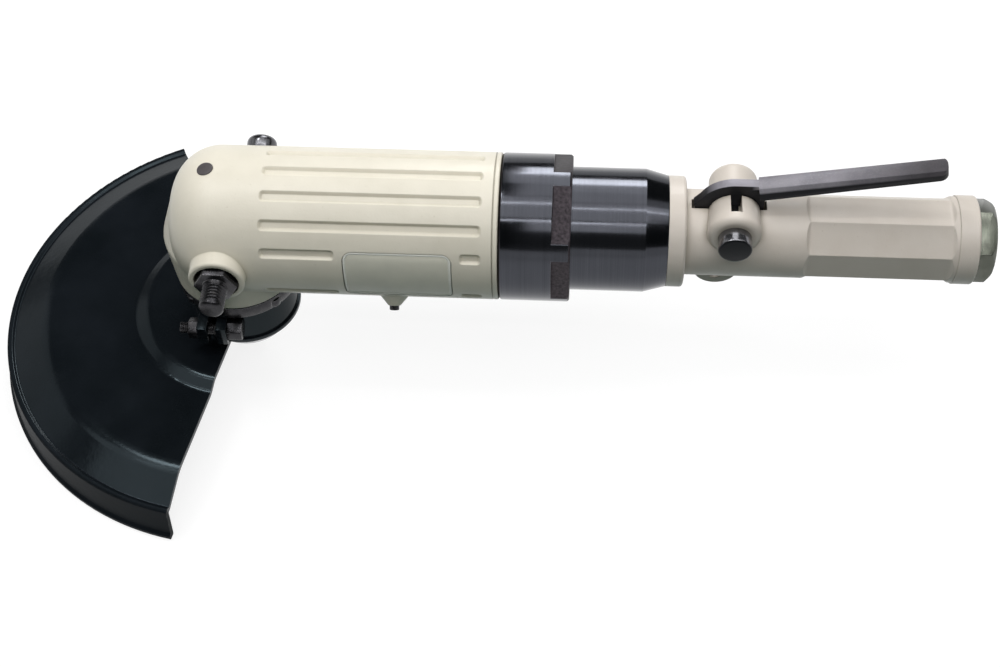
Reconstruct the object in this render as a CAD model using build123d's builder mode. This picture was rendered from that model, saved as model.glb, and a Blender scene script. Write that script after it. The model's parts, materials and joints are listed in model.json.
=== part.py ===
from build123d import *
import os
from math import acos, asin, atan, cos, degrees, hypot, pi, radians, sin, sqrt, tan

# Air angle grinder, in millimetres.
# The origin is where the spindle axis meets the wheel seat. +Z runs up the spindle into the head,
# +X runs along the body from the head to the air inlet, and -Y is the side of the handle stud.

os.makedirs("parts", exist_ok=True)

# Fits and shared shapes
slip = 0.05
running = 0.03
touch_gap = 0.3
hex_sides = 6
half_side = 180 / hex_sides

# Front housing: barrel and gear head
axis_height = 63.0
barrel_radius = 30.0
nose_x = -22.0
nose_rounding = 20.0
barrel_end = 112.4
rim_rounding = 0.8
rim_groove_inset = 2.4
rim_groove_width = 0.5
rim_groove_depth = 0.4
spigot_step = 3.0
spigot_length = 15.6
spigot_wall = 3.0
head_drop = 28.0
head_wall = 5.2
foot_rounding = 1.5
head_swell = 1.6
head_belly_drop = 5.0
belly_rounding = 7.0
head_top_radius = 21.5
head_top_rise = 14.0
head_top_rounding = 6.0
chamber_radius = 21.0
chamber_rise = 10.0

# Cast grooves along the barrel
groove_count = 16
groove_start = 17.6
groove_margin = 6.5
groove_width = 4.7
groove_depth = 1.3
groove_slope = 42.0
groove_corner = 0.5
groove_plate_gap = 3.0

# Nameplate in its shallow recess
plate_inset = 39.9
plate_length = 42.6
plate_height = 25.0
plate_corner = 3.6
plate_thickness = 0.6
plate_recess = 0.9
plate_gap = 0.5

# Side handle stud and its boss
stud_radius = 5.0
stud_reach = 14.3
stud_chamfer = 1.0
stud_hex = 15.4
stud_hex_height = 8.4
stud_root_depth = 10.0
stud_boss_radius = 11.3
stud_boss_flare = 1.8
stud_boss_reach = 4.0
stud_boss_rounding = 1.2
stud_counterbore_radius = 9.1
stud_counterbore_depth = 6.0

# Small plugs and screws of the housing
head_plug_x = -5.3
head_plug_radius = 3.3
head_plug_depth = 4.0
head_plug_proud = 0.25
grease_plug_x = 11.0
grease_plug_elevation = 160.0
grease_plug_radius = 6.2
grease_plug_height = 7.4
grease_plug_rounding = 3.0
grease_plug_shank_radius = 4.0
grease_plug_shank = 6.0
grease_plug_socket = 5.0
grease_plug_socket_depth = 3.0
spot_face_depth = 1.4
spot_face_gap = 0.5
lock_screw_inset = 43.3
lock_screw_elevation = -45.0
lock_boss_radius = 7.0
lock_boss_height = 4.0
lock_boss_taper = 40.0
lock_screw_radius = 2.0
lock_screw_proud = 2.0
lock_screw_length = 9.0

# Air motor in the barrel
motor_front = 34.0
end_plate_thickness = 10.0
cylinder_length = 60.0
cylinder_wall = 5.0
cylinder_offset = 2.0
rotor_gap = 0.1
rotor_end_gap = 0.3
shaft_radius = 5.0
shaft_hole_gap = 1.0
vane_count = 5
vane_thickness = 2.8
vane_depth = 8.0
vane_end_gap = 0.2
spacer_wall = 6.0
rotor_bearing_radius = 13.0
rotor_bearing_width = 8.0

# Bevel gear pair
gear_module = 1.25
pinion_teeth = 13
gear_teeth = 28
pressure_angle = 20.0
tooth_addendum = 0.85
tooth_dedendum = 1.15
backlash = 0.3
face_width = 6.5
tooth_overrun = 2.0
pinion_bore = 4.0
pinion_hub_radius = 6.5
pinion_rim = 0.9
pinion_passage_radius = 10.6
gear_bore = 7.0
gear_hub_radius = 12.0
gear_hub_drop = 20.0
gear_web_drop = 14.0
gear_front_gap = 0.35
key_width = 3.0
key_height = 3.0
key_length = 8.0
pinion_key_width = 2.0
pinion_key_height = 2.0

# Output spindle and what it carries
spindle_radius = 7.0
flange_seat_radius = 7.3
spindle_chamfer = 0.8
thread_length = 13.0
shoulder_height = 6.0
shoulder_radius = 10.0
bearing_ledge = 15.0
journal_radius = 7.5
spindle_bearing_radius = 16.0
spindle_bearing_width = 9.0
retainer_height = 4.0
gear_spacer_radius = 10.5
gear_nut_flats = 13.0
gear_nut_height = 4.0
gear_nut_thread = 6.0
top_journal_radius = 5.0
top_bearing_radius = 13.0
top_bearing_width = 8.0
top_bearing_gap = 4.0
flange_radius = 18.0
flange_thickness = 3.6
flange_hub_radius = 13.0
flange_cone = 1.4
pilot_radius = 11.1
pilot_height = 4.0

# Spindle neck, the bearing cap under the head
neck_radius = 19.2
neck_bottom = 7.5
neck_lip = 1.5
neck_lip_gap = 0.8
neck_flange_step = 0.2
neck_flange_thickness = 6.0
seal_radius = 14.0
seal_height = 5.0
seal_end_gap = 1.0
neck_screw_count = 4
neck_screw_inset = 2.2
neck_screw_radius = 2.0
neck_screw_head_radius = 3.4
neck_screw_head_height = 4.0
neck_screw_length = 14.0
neck_screw_gap = 0.2
neck_screw_socket = 3.0
neck_screw_socket_depth = 2.0

# Ball bearings
ball_count = 8
ring_share = 0.19
ball_gap = 0.05

# Clamp nut and exhaust sleeve
sleeve_flange = 5.3
nut_gap = 0.2
nut_wall = 7.7
nut_flat_depth = 2.5
nut_flats_length = 7.4
nut_chamfer = 0.8
sleeve_step = 2.0
sleeve_length = 29.6
sleeve_cone = 9.1
sleeve_wall = 4.5
sleeve_edge = 0.6

# Throttle handle
sleeve_taper = 2.5
handle_flange_thickness = 7.0
handle_flange_rounding = 1.4
handle_spigot_length = 22.0
handle_neck_radius = 17.4
grip_flat_depth = 1.4
grip_sides = 8
handle_neck_length = 48.8
grip_length = 56.1
grip_ramp = 2.4
grip_ramp_rounding = 1.6
grip_collar_gap = 2.7
collar_step = 0.5
collar_rounding = 0.8
collar_length = 8.0
seal_ring_inset = 11.6
seal_ring_width = 2.4
seal_ring_depth = 1.8

# Hang eye under the handle's neck
eye_offset = 14.3
eye_hang = 2.3
eye_radius = 9.4
eye_thickness = 5.0
eye_hole_radius = 2.5
eye_hole_hang = 4.1

# Cross boss, pin and lever of the throttle
boss_offset = 18.8
boss_sink = 1.9
boss_radius = 10.8
boss_near = 16.0
boss_far = 17.0
boss_near_rounding = 2.6
boss_far_rounding = 4.0
boss_far_radius = 9.6
pin_radius = 4.0
pin_head_radius = 6.7
pin_head_height = 6.7
pin_head_chamfer = 0.6
pin_far_margin = 3.0
slot_width = 4.6
slot_before = 16.8
slot_after = 12.9
slot_depth = 9.1
key_slot_width = 4.4
key_slot_reach = 11.0
key_slot_depth = 7.0
lever_thickness = 4.0
lever_hub_gap = 0.4
lever_arc_radius = 15.0
lever_arc_right = 11.5
lever_underside = 1.0
hook_neck_rise = 6.5
hook_tip_x = -16.2
hook_tip_rise = 3.2
hook_heel_x = -15.4
hook_heel_rise = 1.0
hook_bottom_x = -12.7
hook_bottom_rise = 0.2
paddle_start_x = 8.4
paddle_start_rise = 15.0
paddle_length = 72.1
paddle_slope = 11.1
paddle_width = 11.0
paddle_end_width = 8.6
paddle_thickness = 4.6
paddle_end_rounding = 3.6
paddle_crown = 6.3
paddle_fall = 55.0
lever_web_length = 8.5
lever_web_depth = 3.0

# Throttle valve in the handle
passage_drop = 3.0
front_passage_radius = 6.5
valve_chamber_radius = 8.5
valve_seat_offset = 15.5
valve_seat_length = 6.0
valve_seat_bore = 4.5
valve_disc_radius = 6.2
valve_disc_thickness = 2.5
valve_disc_gap = 0.1
valve_stem_radius = 1.4
valve_tip_radius = 2.2
valve_tip_reach = 16.6
valve_tip_length = 6.0
plunger_arm = 9.0
plunger_radius = 2.0
plunger_rounding = 1.8
spring_radius = 4.6
spring_wire = 0.5
spring_turns = 5
spring_length = 14.0
spring_end_gap = 0.3
retainer_thickness = 2.0
retainer_bore = 3.2

# Air inlet
inlet_wall = 5.0
inlet_socket_depth = 12.0
inlet_hex = 29.6
inlet_hex_length = 6.9
inlet_face_radius = 14.9
inlet_face_bevel = 2.6
inlet_thread_radius = 9.3
screen_thickness = 1.2
screen_hole_radius = 1.1
screen_hole_count = 8
screen_hole_circles = 2
screen_hole_step = 3.4

# Guard: collar, clamp and stepped plate
collar_thickness = 3.2
collar_top_gap = 4.0
guard_collar_bottom = 8.5
collar_lip_height = 2.0
collar_lip_width = 1.2
split_x = -8.5
split_width = 3.8
ear_thickness = 4.2
ear_margin = 4.4
ear_height = 10.0
ear_rise = 2.0
clamp_head_gap = 0.2
clamp_radius = 2.5
clamp_gap = 0.2
clamp_head_flats = 8.0
clamp_head_height = 6.4
clamp_nut_height = 4.0
clamp_tail = 4.0
guard_radius = 106.0
guard_near_angle = 79.5
guard_far_angle = 64.5
guard_sheet = 2.0
guard_inner_end = 43.0
guard_first_step = 2.6
guard_first_run = 6.0
guard_rim_width = 18.5
guard_second_step = 6.5
guard_soft_bend = 14.0
guard_lip = 3.2
guard_lip_run = 1.2
guard_lip_rise = 0.9
guard_lip_bend = 0.6
guard_flare = 1.5
guard_bend = 5.0
guard_rim_bend = 0.8
guard_skirt_bottom = -17.0
guard_bead = 1.3
guard_bead_height = 3.6

# Places worked out from the sizes above
body_origin = (0, 0, axis_height)
body_axis = Axis(body_origin, (1, 0, 0))
side_plane = Plane(origin=body_origin, x_dir=(1, 0, 0), z_dir=(0, -1, 0))
body_plane = Plane(origin=body_origin, x_dir=(0, 1, 0), z_dir=(1, 0, 0))
stud_axis = Axis(body_origin, (0, -1, 0))
stud_plane = Plane(origin=body_origin, x_dir=(0, -1, 0), z_dir=(-1, 0, 0))
head_bottom = axis_height - head_drop
head_foot_radius = chamber_radius + head_wall
head_radius = head_foot_radius + head_swell
spigot_radius = barrel_radius - spigot_step
spigot_end = barrel_end + spigot_length
groove_end = barrel_end - groove_margin
plate_x = barrel_end - plate_inset
lock_screw_x = barrel_end - lock_screw_inset
stud_boss_face = barrel_radius + stud_boss_reach
stud_end = stud_boss_face + stud_reach
motor_radius = spigot_radius - spigot_wall
cylinder_start = motor_front + end_plate_thickness
cylinder_end = cylinder_start + cylinder_length
rear_plate_end = cylinder_end + end_plate_thickness
cylinder_bore = motor_radius - cylinder_wall
rotor_radius = cylinder_bore - cylinder_offset - rotor_gap
neck_screw_circle = chamber_radius + neck_screw_inset
sleeve_radius = spigot_radius - sleeve_step
sleeve_bore = sleeve_radius - sleeve_wall
nut_ledge = spigot_end + sleeve_flange
nut_end = nut_ledge + nut_wall
sleeve_cone_start = nut_end + sleeve_length
sleeve_end = sleeve_cone_start + sleeve_cone
handle_flange_radius = sleeve_radius - sleeve_taper
handle_flange_end = sleeve_end + handle_flange_thickness
grip_start = handle_flange_end + handle_neck_length
grip_end = grip_start + grip_length
collar_start = grip_end + grip_collar_gap
handle_end = collar_start + collar_length
collar_radius = handle_neck_radius + collar_step
eye_x = handle_flange_end + eye_offset
eye_drop = handle_neck_radius + eye_hang
boss_x = handle_flange_end + boss_offset
boss_rise = handle_neck_radius - boss_sink
slot_floor = boss_rise - slot_depth
lever_hub_radius = plunger_arm - plunger_radius - lever_hub_gap
valve_seat_front = boss_x + valve_seat_offset
inlet_socket_radius = collar_radius - inlet_wall


def turned(axis, plane, corners, mode=Mode.ADD):
    """Revolve a closed profile. A corner is (along, out), or has its rounding as a third number."""
    points = [(corner[0], corner[1]) for corner in corners]
    roundings = [corner[2] if len(corner) > 2 else 0 for corner in corners]
    with BuildSketch(plane) as profile:
        with BuildLine():
            FilletPolyline(*points, radius=roundings, close=True)
        make_face()
    revolve(profile.sketch, axis=axis, mode=mode)


def rod(plane, radius, length, bore=0, mode=Mode.ADD):
    """A round length along the plane's normal, hollow where a bore is given."""
    with BuildSketch(plane) as section:
        Circle(radius)
        if bore:
            Circle(bore, mode=Mode.SUBTRACT)
    extrude(section.sketch, amount=length, mode=mode)


def hexagon(plane, flats, length, turn=0, mode=Mode.ADD):
    """A hexagon bar along the plane's normal, with one corner along its x direction at turn 0."""
    with BuildSketch(plane) as section:
        RegularPolygon(flats / 2, hex_sides, major_radius=False, rotation=turn)
    extrude(section.sketch, amount=length, mode=mode)


def block(plane, x_range, y_range, half_width, mode=Mode.ADD):
    """A block over a rectangle of the plane, the same distance to both sides of it."""
    with BuildSketch(plane) as section:
        with Locations(((x_range[0] + x_range[1]) / 2, (y_range[0] + y_range[1]) / 2)):
            Rectangle(x_range[1] - x_range[0], y_range[1] - y_range[0])
    extrude(section.sketch, amount=half_width, both=True, mode=mode)


def barrel_plane(x, elevation, radius):
    """A plane square to the barrel's radius. Elevation 0 faces -Y and 90 faces up."""
    outward = Vector(0, -cos(radians(elevation)), sin(radians(elevation)))
    return Plane(origin=Vector(x, 0, axis_height) + outward * radius, x_dir=(1, 0, 0), z_dir=outward)


def ball_bearing(plane, outer, bore, width):
    """Two plain rings with a row of balls between them."""
    ring = (outer - bore) * ring_share
    ball_radius = (outer - bore) / 2 - ring - ball_gap
    rod(plane, outer, width, bore=outer - ring)
    rod(plane, bore + ring, width, bore=bore)
    with Locations(plane.offset(width / 2)):
        with PolarLocations((outer + bore) / 2, ball_count):
            Sphere(ball_radius)


# Front housing
def curved_plate(margin, inner, outer):
    """A rounded rectangle on the -Y side, wrapped round the body axis between two radii."""
    with BuildPart() as plate:
        with BuildSketch(side_plane):
            with Locations((plate_x, 0)):
                RectangleRounded(
                    plate_length + 2 * margin,
                    plate_height + 2 * margin,
                    plate_corner + margin,
                )
        extrude(amount=2 * barrel_radius)
        rod(body_plane, outer, barrel_end, bore=inner, mode=Mode.INTERSECT)
    return plate.part


def groove(elevation, start, end):
    """One cast groove along the barrel, with sloping walls."""
    draft = 2 * groove_depth * tan(radians(groove_slope))
    with BuildSketch(barrel_plane((start + end) / 2, elevation, barrel_radius - groove_depth)) as slot:
        RectangleRounded(end - start - draft, groove_width - draft, groove_corner)
    extrude(slot.sketch, amount=2 * groove_depth, taper=-groove_slope, mode=Mode.SUBTRACT)


plate_floor = barrel_radius - plate_recess
plate_pocket = curved_plate(plate_gap, plate_floor, 2 * barrel_radius)
plate_body = curved_plate(0, plate_floor, plate_floor + plate_thickness)
groove_pitch = 360 / groove_count
plate_edge = plate_length / 2 + plate_gap + groove_plate_gap
beside_plate = [(groove_start, plate_x - plate_edge), (plate_x + plate_edge, groove_end)]
stud_seat = stud_boss_face - stud_counterbore_depth
plug_tilt = asin((nose_x + nose_rounding - head_plug_x) / nose_rounding)
plug_rise = barrel_radius - nose_rounding + nose_rounding * cos(plug_tilt)
plug_plane = Plane(
    origin=(head_plug_x, 0, axis_height + plug_rise),
    x_dir=(0, 1, 0),
    z_dir=(-sin(plug_tilt), 0, cos(plug_tilt)),
)
grease_seat = barrel_radius - spot_face_depth
grease_plane = barrel_plane(grease_plug_x, grease_plug_elevation, grease_seat)
lock_plane = barrel_plane(lock_screw_x, lock_screw_elevation, barrel_radius - groove_depth)
lock_tip = groove_depth + lock_boss_height + lock_screw_proud
top_seat = axis_height + chamber_rise + top_bearing_gap
screw_plane = Plane.XY.offset(head_bottom)

with BuildPart() as front_housing:
    # Barrel with a rounded nose and a threaded spigot at the rear
    turned(body_axis, side_plane, [
        (nose_x, 0),
        (nose_x, barrel_radius, nose_rounding),
        (barrel_end, barrel_radius, rim_rounding),
        (barrel_end, spigot_radius),
        (spigot_end, spigot_radius),
        (spigot_end, 0),
    ])
    # Fine groove before the rear rim
    rod(
        body_plane.offset(barrel_end - rim_groove_inset),
        barrel_radius,
        rim_groove_width,
        bore=barrel_radius - rim_groove_depth,
        mode=Mode.SUBTRACT,
    )
    # Gear head round the spindle axis
    turned(Axis.Z, Plane.XZ, [
        (0, head_bottom),
        (head_foot_radius, head_bottom, foot_rounding),
        (head_radius, axis_height - head_belly_drop, belly_rounding),
        (head_top_radius, axis_height + head_top_rise, head_top_rounding),
        (0, axis_height + head_top_rise),
    ])
    # Grooves all round except on the nameplate's line
    for step in range(1, groove_count):
        if step in (1, groove_count - 1):
            for start, end in beside_plate:
                groove(step * groove_pitch, start, end)
        else:
            groove(step * groove_pitch, groove_start, groove_end)
    add(plate_pocket, mode=Mode.SUBTRACT)
    # Boss of the side handle stud
    turned(stud_axis, stud_plane, [
        (0, 0),
        (0, stud_boss_radius + stud_boss_flare),
        (stud_boss_face, stud_boss_radius, stud_boss_rounding),
        (stud_boss_face, 0),
    ])
    # Boss of the lock screw
    with BuildSketch(lock_plane) as lock_foot:
        Circle(lock_boss_radius)
    extrude(lock_foot.sketch, amount=groove_depth + lock_boss_height, taper=lock_boss_taper)
    # Gear chamber, top bearing seat, flat foot of the head, pinion passage and motor bore
    turned(Axis.Z, Plane.XZ, [
        (0, head_bottom),
        (chamber_radius, head_bottom),
        (chamber_radius, axis_height + chamber_rise),
        (top_bearing_radius + slip, axis_height + chamber_rise),
        (top_bearing_radius + slip, top_seat + top_bearing_width),
        (0, top_seat + top_bearing_width),
    ], mode=Mode.SUBTRACT)
    rod(Plane.XY, head_foot_radius + touch_gap, head_bottom, mode=Mode.SUBTRACT)
    rod(body_plane, pinion_passage_radius, motor_front, mode=Mode.SUBTRACT)
    rod(body_plane.offset(motor_front), motor_radius, spigot_end - motor_front, mode=Mode.SUBTRACT)
    # Seats of the stud, the plugs and the screws
    rod(side_plane.offset(stud_seat), stud_counterbore_radius, stud_boss_face, mode=Mode.SUBTRACT)
    rod(
        side_plane.offset(stud_seat - stud_root_depth),
        stud_radius + slip,
        stud_boss_face,
        mode=Mode.SUBTRACT,
    )
    rod(plug_plane.offset(-head_plug_depth), head_plug_radius + slip, barrel_radius, mode=Mode.SUBTRACT)
    rod(grease_plane, grease_plug_radius + spot_face_gap, barrel_radius, mode=Mode.SUBTRACT)
    rod(
        grease_plane.offset(-grease_plug_shank),
        grease_plug_shank_radius + slip,
        barrel_radius,
        mode=Mode.SUBTRACT,
    )
    rod(
        lock_plane.offset(lock_tip - lock_screw_length),
        lock_screw_radius + slip,
        barrel_radius,
        mode=Mode.SUBTRACT,
    )
    with Locations(screw_plane):
        with PolarLocations(neck_screw_circle, neck_screw_count, 180 / neck_screw_count):
            Cylinder(
                neck_screw_radius + slip,
                neck_screw_length,
                align=(Align.CENTER, Align.CENTER, Align.MIN),
                mode=Mode.SUBTRACT,
            )
front_housing.part.label = "front_housing"
export_step(front_housing.part, "parts/front_housing.step")

with BuildPart() as nameplate:
    add(plate_body)
nameplate.part.label = "nameplate"
export_step(nameplate.part, "parts/nameplate.step")

with BuildPart() as side_handle_stud:
    rod(side_plane.offset(stud_seat - stud_root_depth), stud_radius, stud_root_depth)
    hexagon(side_plane.offset(stud_seat), stud_hex, stud_hex_height)
    rod(side_plane.offset(stud_seat), stud_radius, stud_end - stud_seat)
    chamfer(edges().group_by(Axis.Y)[0], stud_chamfer)
side_handle_stud.part.label = "side_handle_stud"
export_step(side_handle_stud.part, "parts/side_handle_stud.step")

with BuildPart() as head_plug:
    rod(plug_plane.offset(-head_plug_depth), head_plug_radius, head_plug_depth + head_plug_proud)
head_plug.part.label = "head_plug"
export_step(head_plug.part, "parts/head_plug.step")

with BuildPart() as grease_plug:
    rod(grease_plane.offset(-grease_plug_shank), grease_plug_shank_radius, grease_plug_shank)
    rod(grease_plane, grease_plug_radius, grease_plug_height)
    fillet(
        faces().sort_by(Axis(grease_plane.origin, grease_plane.z_dir))[-1].edges(),
        grease_plug_rounding,
    )
    hexagon(
        grease_plane.offset(grease_plug_height - grease_plug_socket_depth),
        grease_plug_socket,
        grease_plug_socket_depth,
        mode=Mode.SUBTRACT,
    )
grease_plug.part.label = "grease_plug"
export_step(grease_plug.part, "parts/grease_plug.step")

with BuildPart() as lock_screw:
    rod(lock_plane.offset(lock_tip - lock_screw_length), lock_screw_radius, lock_screw_length)
lock_screw.part.label = "lock_screw"
export_step(lock_screw.part, "parts/lock_screw.step")


# Air motor
def end_plate(start, bearing_start):
    """A disc that closes the motor cylinder and holds one rotor bearing."""
    rod(
        body_plane.offset(start),
        motor_radius - slip,
        end_plate_thickness,
        bore=shaft_radius + shaft_hole_gap,
    )
    rod(
        body_plane.offset(bearing_start),
        rotor_bearing_radius + slip,
        rotor_bearing_width,
        mode=Mode.SUBTRACT,
    )


front_bearing_x = motor_front
rear_bearing_x = rear_plate_end - rotor_bearing_width

with BuildPart() as front_end_plate:
    end_plate(motor_front, front_bearing_x)
front_end_plate.part.label = "front_end_plate"
export_step(front_end_plate.part, "parts/front_end_plate.step")

with BuildPart() as rear_end_plate:
    end_plate(cylinder_end, rear_bearing_x)
rear_end_plate.part.label = "rear_end_plate"
export_step(rear_end_plate.part, "parts/rear_end_plate.step")

bore_plane = Plane(
    origin=(cylinder_start, 0, axis_height + cylinder_offset), x_dir=(0, 1, 0), z_dir=(1, 0, 0)
)
with BuildPart() as motor_cylinder:
    rod(body_plane.offset(cylinder_start), motor_radius - slip, cylinder_length)
    rod(bore_plane, cylinder_bore, cylinder_length, mode=Mode.SUBTRACT)
motor_cylinder.part.label = "motor_cylinder"
export_step(motor_cylinder.part, "parts/motor_cylinder.step")

with BuildPart() as motor_spacer:
    rod(
        body_plane.offset(rear_plate_end),
        motor_radius - slip,
        spigot_end - rear_plate_end,
        bore=motor_radius - spacer_wall,
    )
motor_spacer.part.label = "motor_spacer"
export_step(motor_spacer.part, "parts/motor_spacer.step")

with BuildPart() as front_rotor_bearing:
    ball_bearing(
        body_plane.offset(front_bearing_x),
        rotor_bearing_radius,
        shaft_radius + running,
        rotor_bearing_width,
    )
front_rotor_bearing.part.label = "front_rotor_bearing"
export_step(front_rotor_bearing.part, "parts/front_rotor_bearing.step")

with BuildPart() as rear_rotor_bearing:
    ball_bearing(
        body_plane.offset(rear_bearing_x),
        rotor_bearing_radius,
        shaft_radius + running,
        rotor_bearing_width,
    )
rear_rotor_bearing.part.label = "rear_rotor_bearing"
export_step(rear_rotor_bearing.part, "parts/rear_rotor_bearing.step")

# Bevel gear pair: both pitch cones meet where the body axis crosses the spindle axis
pinion_angle = atan(pinion_teeth / gear_teeth)
gear_angle = pi / 2 - pinion_angle
pinion_pitch_radius = gear_module * pinion_teeth / 2
gear_pitch_radius = gear_module * gear_teeth / 2
cone_distance = hypot(pinion_pitch_radius, gear_pitch_radius)
small_end = (cone_distance - face_width) / cone_distance
addendum = tooth_addendum * gear_module
dedendum = tooth_dedendum * gear_module
flank_steps = 5


def involute(angle):
    """The involute function of a pressure angle in radians."""
    return tan(angle) - angle


def space_outline(pitch_radius, cone_angle, scale):
    """The outline of one tooth space, square to the pitch cone, on the involute of its back cone."""
    back_radius = pitch_radius / cos(cone_angle)
    base_radius = back_radius * cos(radians(pressure_angle))
    pitch_half = (pi * gear_module / 2 + backlash) / 2 / back_radius
    lowest = back_radius - dedendum
    highest = back_radius + 2 * addendum
    flank = []
    for step in range(flank_steps + 1):
        radius = lowest + (highest - lowest) * step / flank_steps
        roll = acos(min(1, base_radius / radius))
        half = pitch_half + involute(roll) - involute(radians(pressure_angle))
        flank.append((radius * sin(half) * scale, (radius * cos(half) - back_radius) * scale))
    return flank + [(-x, y) for x, y in reversed(flank)]


def tooth_space(pitch_radius, cone_angle):
    """One tooth space of a bevel gear whose axis is Z and whose apex is at the origin."""
    along = Vector(sin(cone_angle), 0, cos(cone_angle))
    with BuildPart() as space:
        for reach in (cone_distance - face_width - tooth_overrun, cone_distance + tooth_overrun):
            with BuildSketch(Plane(origin=along * reach, x_dir=(0, -1, 0), z_dir=along)):
                with BuildLine():
                    Polyline(*space_outline(pitch_radius, cone_angle, reach / cone_distance), close=True)
                make_face()
        loft(ruled=True)
    return space.part


def cone_point(pitch_radius, cone_angle, height, scale=1):
    """Distance from the apex and radius of a point this high above the pitch cone at its large end."""
    along = (cone_distance * cos(cone_angle) - height * sin(cone_angle)) * scale
    out = (pitch_radius + height * cos(cone_angle)) * scale
    return along, out


pinion_space = tooth_space(pinion_pitch_radius, pinion_angle)
pinion_tip = cone_point(pinion_pitch_radius, pinion_angle, addendum)
pinion_tip_small = cone_point(pinion_pitch_radius, pinion_angle, addendum, small_end)
pinion_root = cone_point(pinion_pitch_radius, pinion_angle, -dedendum)
pinion_plane = Plane(origin=body_origin, x_dir=(0, 0, -1), z_dir=(1, 0, 0))
pinion_key_x = pinion_root[0] + pinion_rim
pinion_key_block = (
    (pinion_key_x, motor_front),
    (pinion_bore - pinion_key_height / 2, pinion_bore + pinion_key_height / 2),
)

with BuildPart(pinion_plane) as bevel_pinion:
    turned(body_axis, side_plane, [
        (pinion_tip_small[0], pinion_bore + slip),
        (pinion_tip_small[0], pinion_tip_small[1]),
        (pinion_tip[0], pinion_tip[1]),
        (pinion_root[0] + pinion_rim, pinion_root[1]),
        (pinion_root[0] + pinion_rim, pinion_hub_radius),
        (motor_front, pinion_hub_radius),
        (motor_front, pinion_bore + slip),
    ])
    with PolarLocations(0, pinion_teeth, 180 / pinion_teeth):
        add(pinion_space, mode=Mode.SUBTRACT)
    block(
        side_plane,
        pinion_key_block[0],
        (0, pinion_key_block[1][1] + slip),
        pinion_key_width / 2 + slip,
        mode=Mode.SUBTRACT,
    )
bevel_pinion.part.label = "bevel_pinion"
export_step(bevel_pinion.part, "parts/bevel_pinion.step")

with BuildPart() as pinion_key:
    block(side_plane, *pinion_key_block, pinion_key_width / 2)
pinion_key.part.label = "pinion_key"
export_step(pinion_key.part, "parts/pinion_key.step")

rotor_start = cylinder_start + rotor_end_gap
rotor_length = cylinder_length - 2 * rotor_end_gap
vane_mid = rotor_radius - vane_depth / 2
rotor_plane = body_plane.offset(rotor_start)

with BuildPart(rotor_plane) as rotor:
    turned(body_axis, side_plane, [
        (pinion_tip_small[0], 0),
        (pinion_tip_small[0], pinion_bore),
        (motor_front, pinion_bore),
        (motor_front, shaft_radius),
        (rotor_start, shaft_radius),
        (rotor_start, rotor_radius),
        (rotor_start + rotor_length, rotor_radius),
        (rotor_start + rotor_length, shaft_radius),
        (rear_plate_end, shaft_radius),
        (rear_plate_end, 0),
    ])
    with PolarLocations(vane_mid, vane_count):
        Box(
            vane_depth + 2 * slip,
            vane_thickness + 2 * slip,
            rotor_length,
            align=(Align.CENTER, Align.CENTER, Align.MIN),
            mode=Mode.SUBTRACT,
        )
    block(
        side_plane,
        (pinion_key_block[0][0] - slip, motor_front),
        (pinion_key_block[1][0] - slip, pinion_bore + pinion_key_height),
        pinion_key_width / 2 + slip,
        mode=Mode.SUBTRACT,
    )
rotor.part.label = "rotor"
export_step(rotor.part, "parts/rotor.step")

with BuildPart(rotor_plane.offset(vane_end_gap)) as vanes:
    with PolarLocations(vane_mid, vane_count):
        Box(
            vane_depth,
            vane_thickness,
            rotor_length - 2 * vane_end_gap,
            align=(Align.CENTER, Align.CENTER, Align.MIN),
        )
vanes.part.label = "vanes"
export_step(vanes.part, "parts/vanes.step")

gear_space = tooth_space(gear_pitch_radius, gear_angle)
gear_tip = cone_point(gear_pitch_radius, gear_angle, addendum)
gear_tip_small = cone_point(gear_pitch_radius, gear_angle, addendum, small_end)
gear_root = cone_point(gear_pitch_radius, gear_angle, -dedendum)
gear_root_small = cone_point(gear_pitch_radius, gear_angle, -dedendum, small_end)
gear_plane = Plane(origin=body_origin, x_dir=(1, 0, 0), z_dir=(0, 0, -1))
gear_front = axis_height - gear_root_small[0] - gear_front_gap
gear_back = axis_height - gear_hub_drop
gear_key_block = (
    (gear_bore - key_height / 2, gear_bore + key_height / 2),
    (gear_back - axis_height, gear_back - axis_height + key_length),
)

with BuildPart(gear_plane) as bevel_gear:
    turned(Axis.Z, Plane.XZ, [
        (gear_bore + slip, gear_front),
        (gear_root_small[1], gear_front),
        (gear_tip_small[1], axis_height - gear_tip_small[0]),
        (gear_tip[1], axis_height - gear_tip[0]),
        (gear_root[1], axis_height - gear_root[0]),
        (gear_hub_radius, axis_height - gear_web_drop),
        (gear_hub_radius, gear_back),
        (gear_bore + slip, gear_back),
    ])
    with PolarLocations(0, gear_teeth):
        add(gear_space, mode=Mode.SUBTRACT)
    block(
        side_plane,
        (0, gear_key_block[0][1] + slip),
        (gear_key_block[1][0], gear_key_block[1][1] + slip),
        key_width / 2 + slip,
        mode=Mode.SUBTRACT,
    )
bevel_gear.part.label = "bevel_gear"
export_step(bevel_gear.part, "parts/bevel_gear.step")

with BuildPart() as gear_key:
    block(side_plane, *gear_key_block, key_width / 2)
gear_key.part.label = "gear_key"
export_step(gear_key.part, "parts/gear_key.step")

# Output spindle with its bearings
nut_top = gear_front + gear_nut_height
spindle_top = top_seat + top_bearing_width

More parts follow.
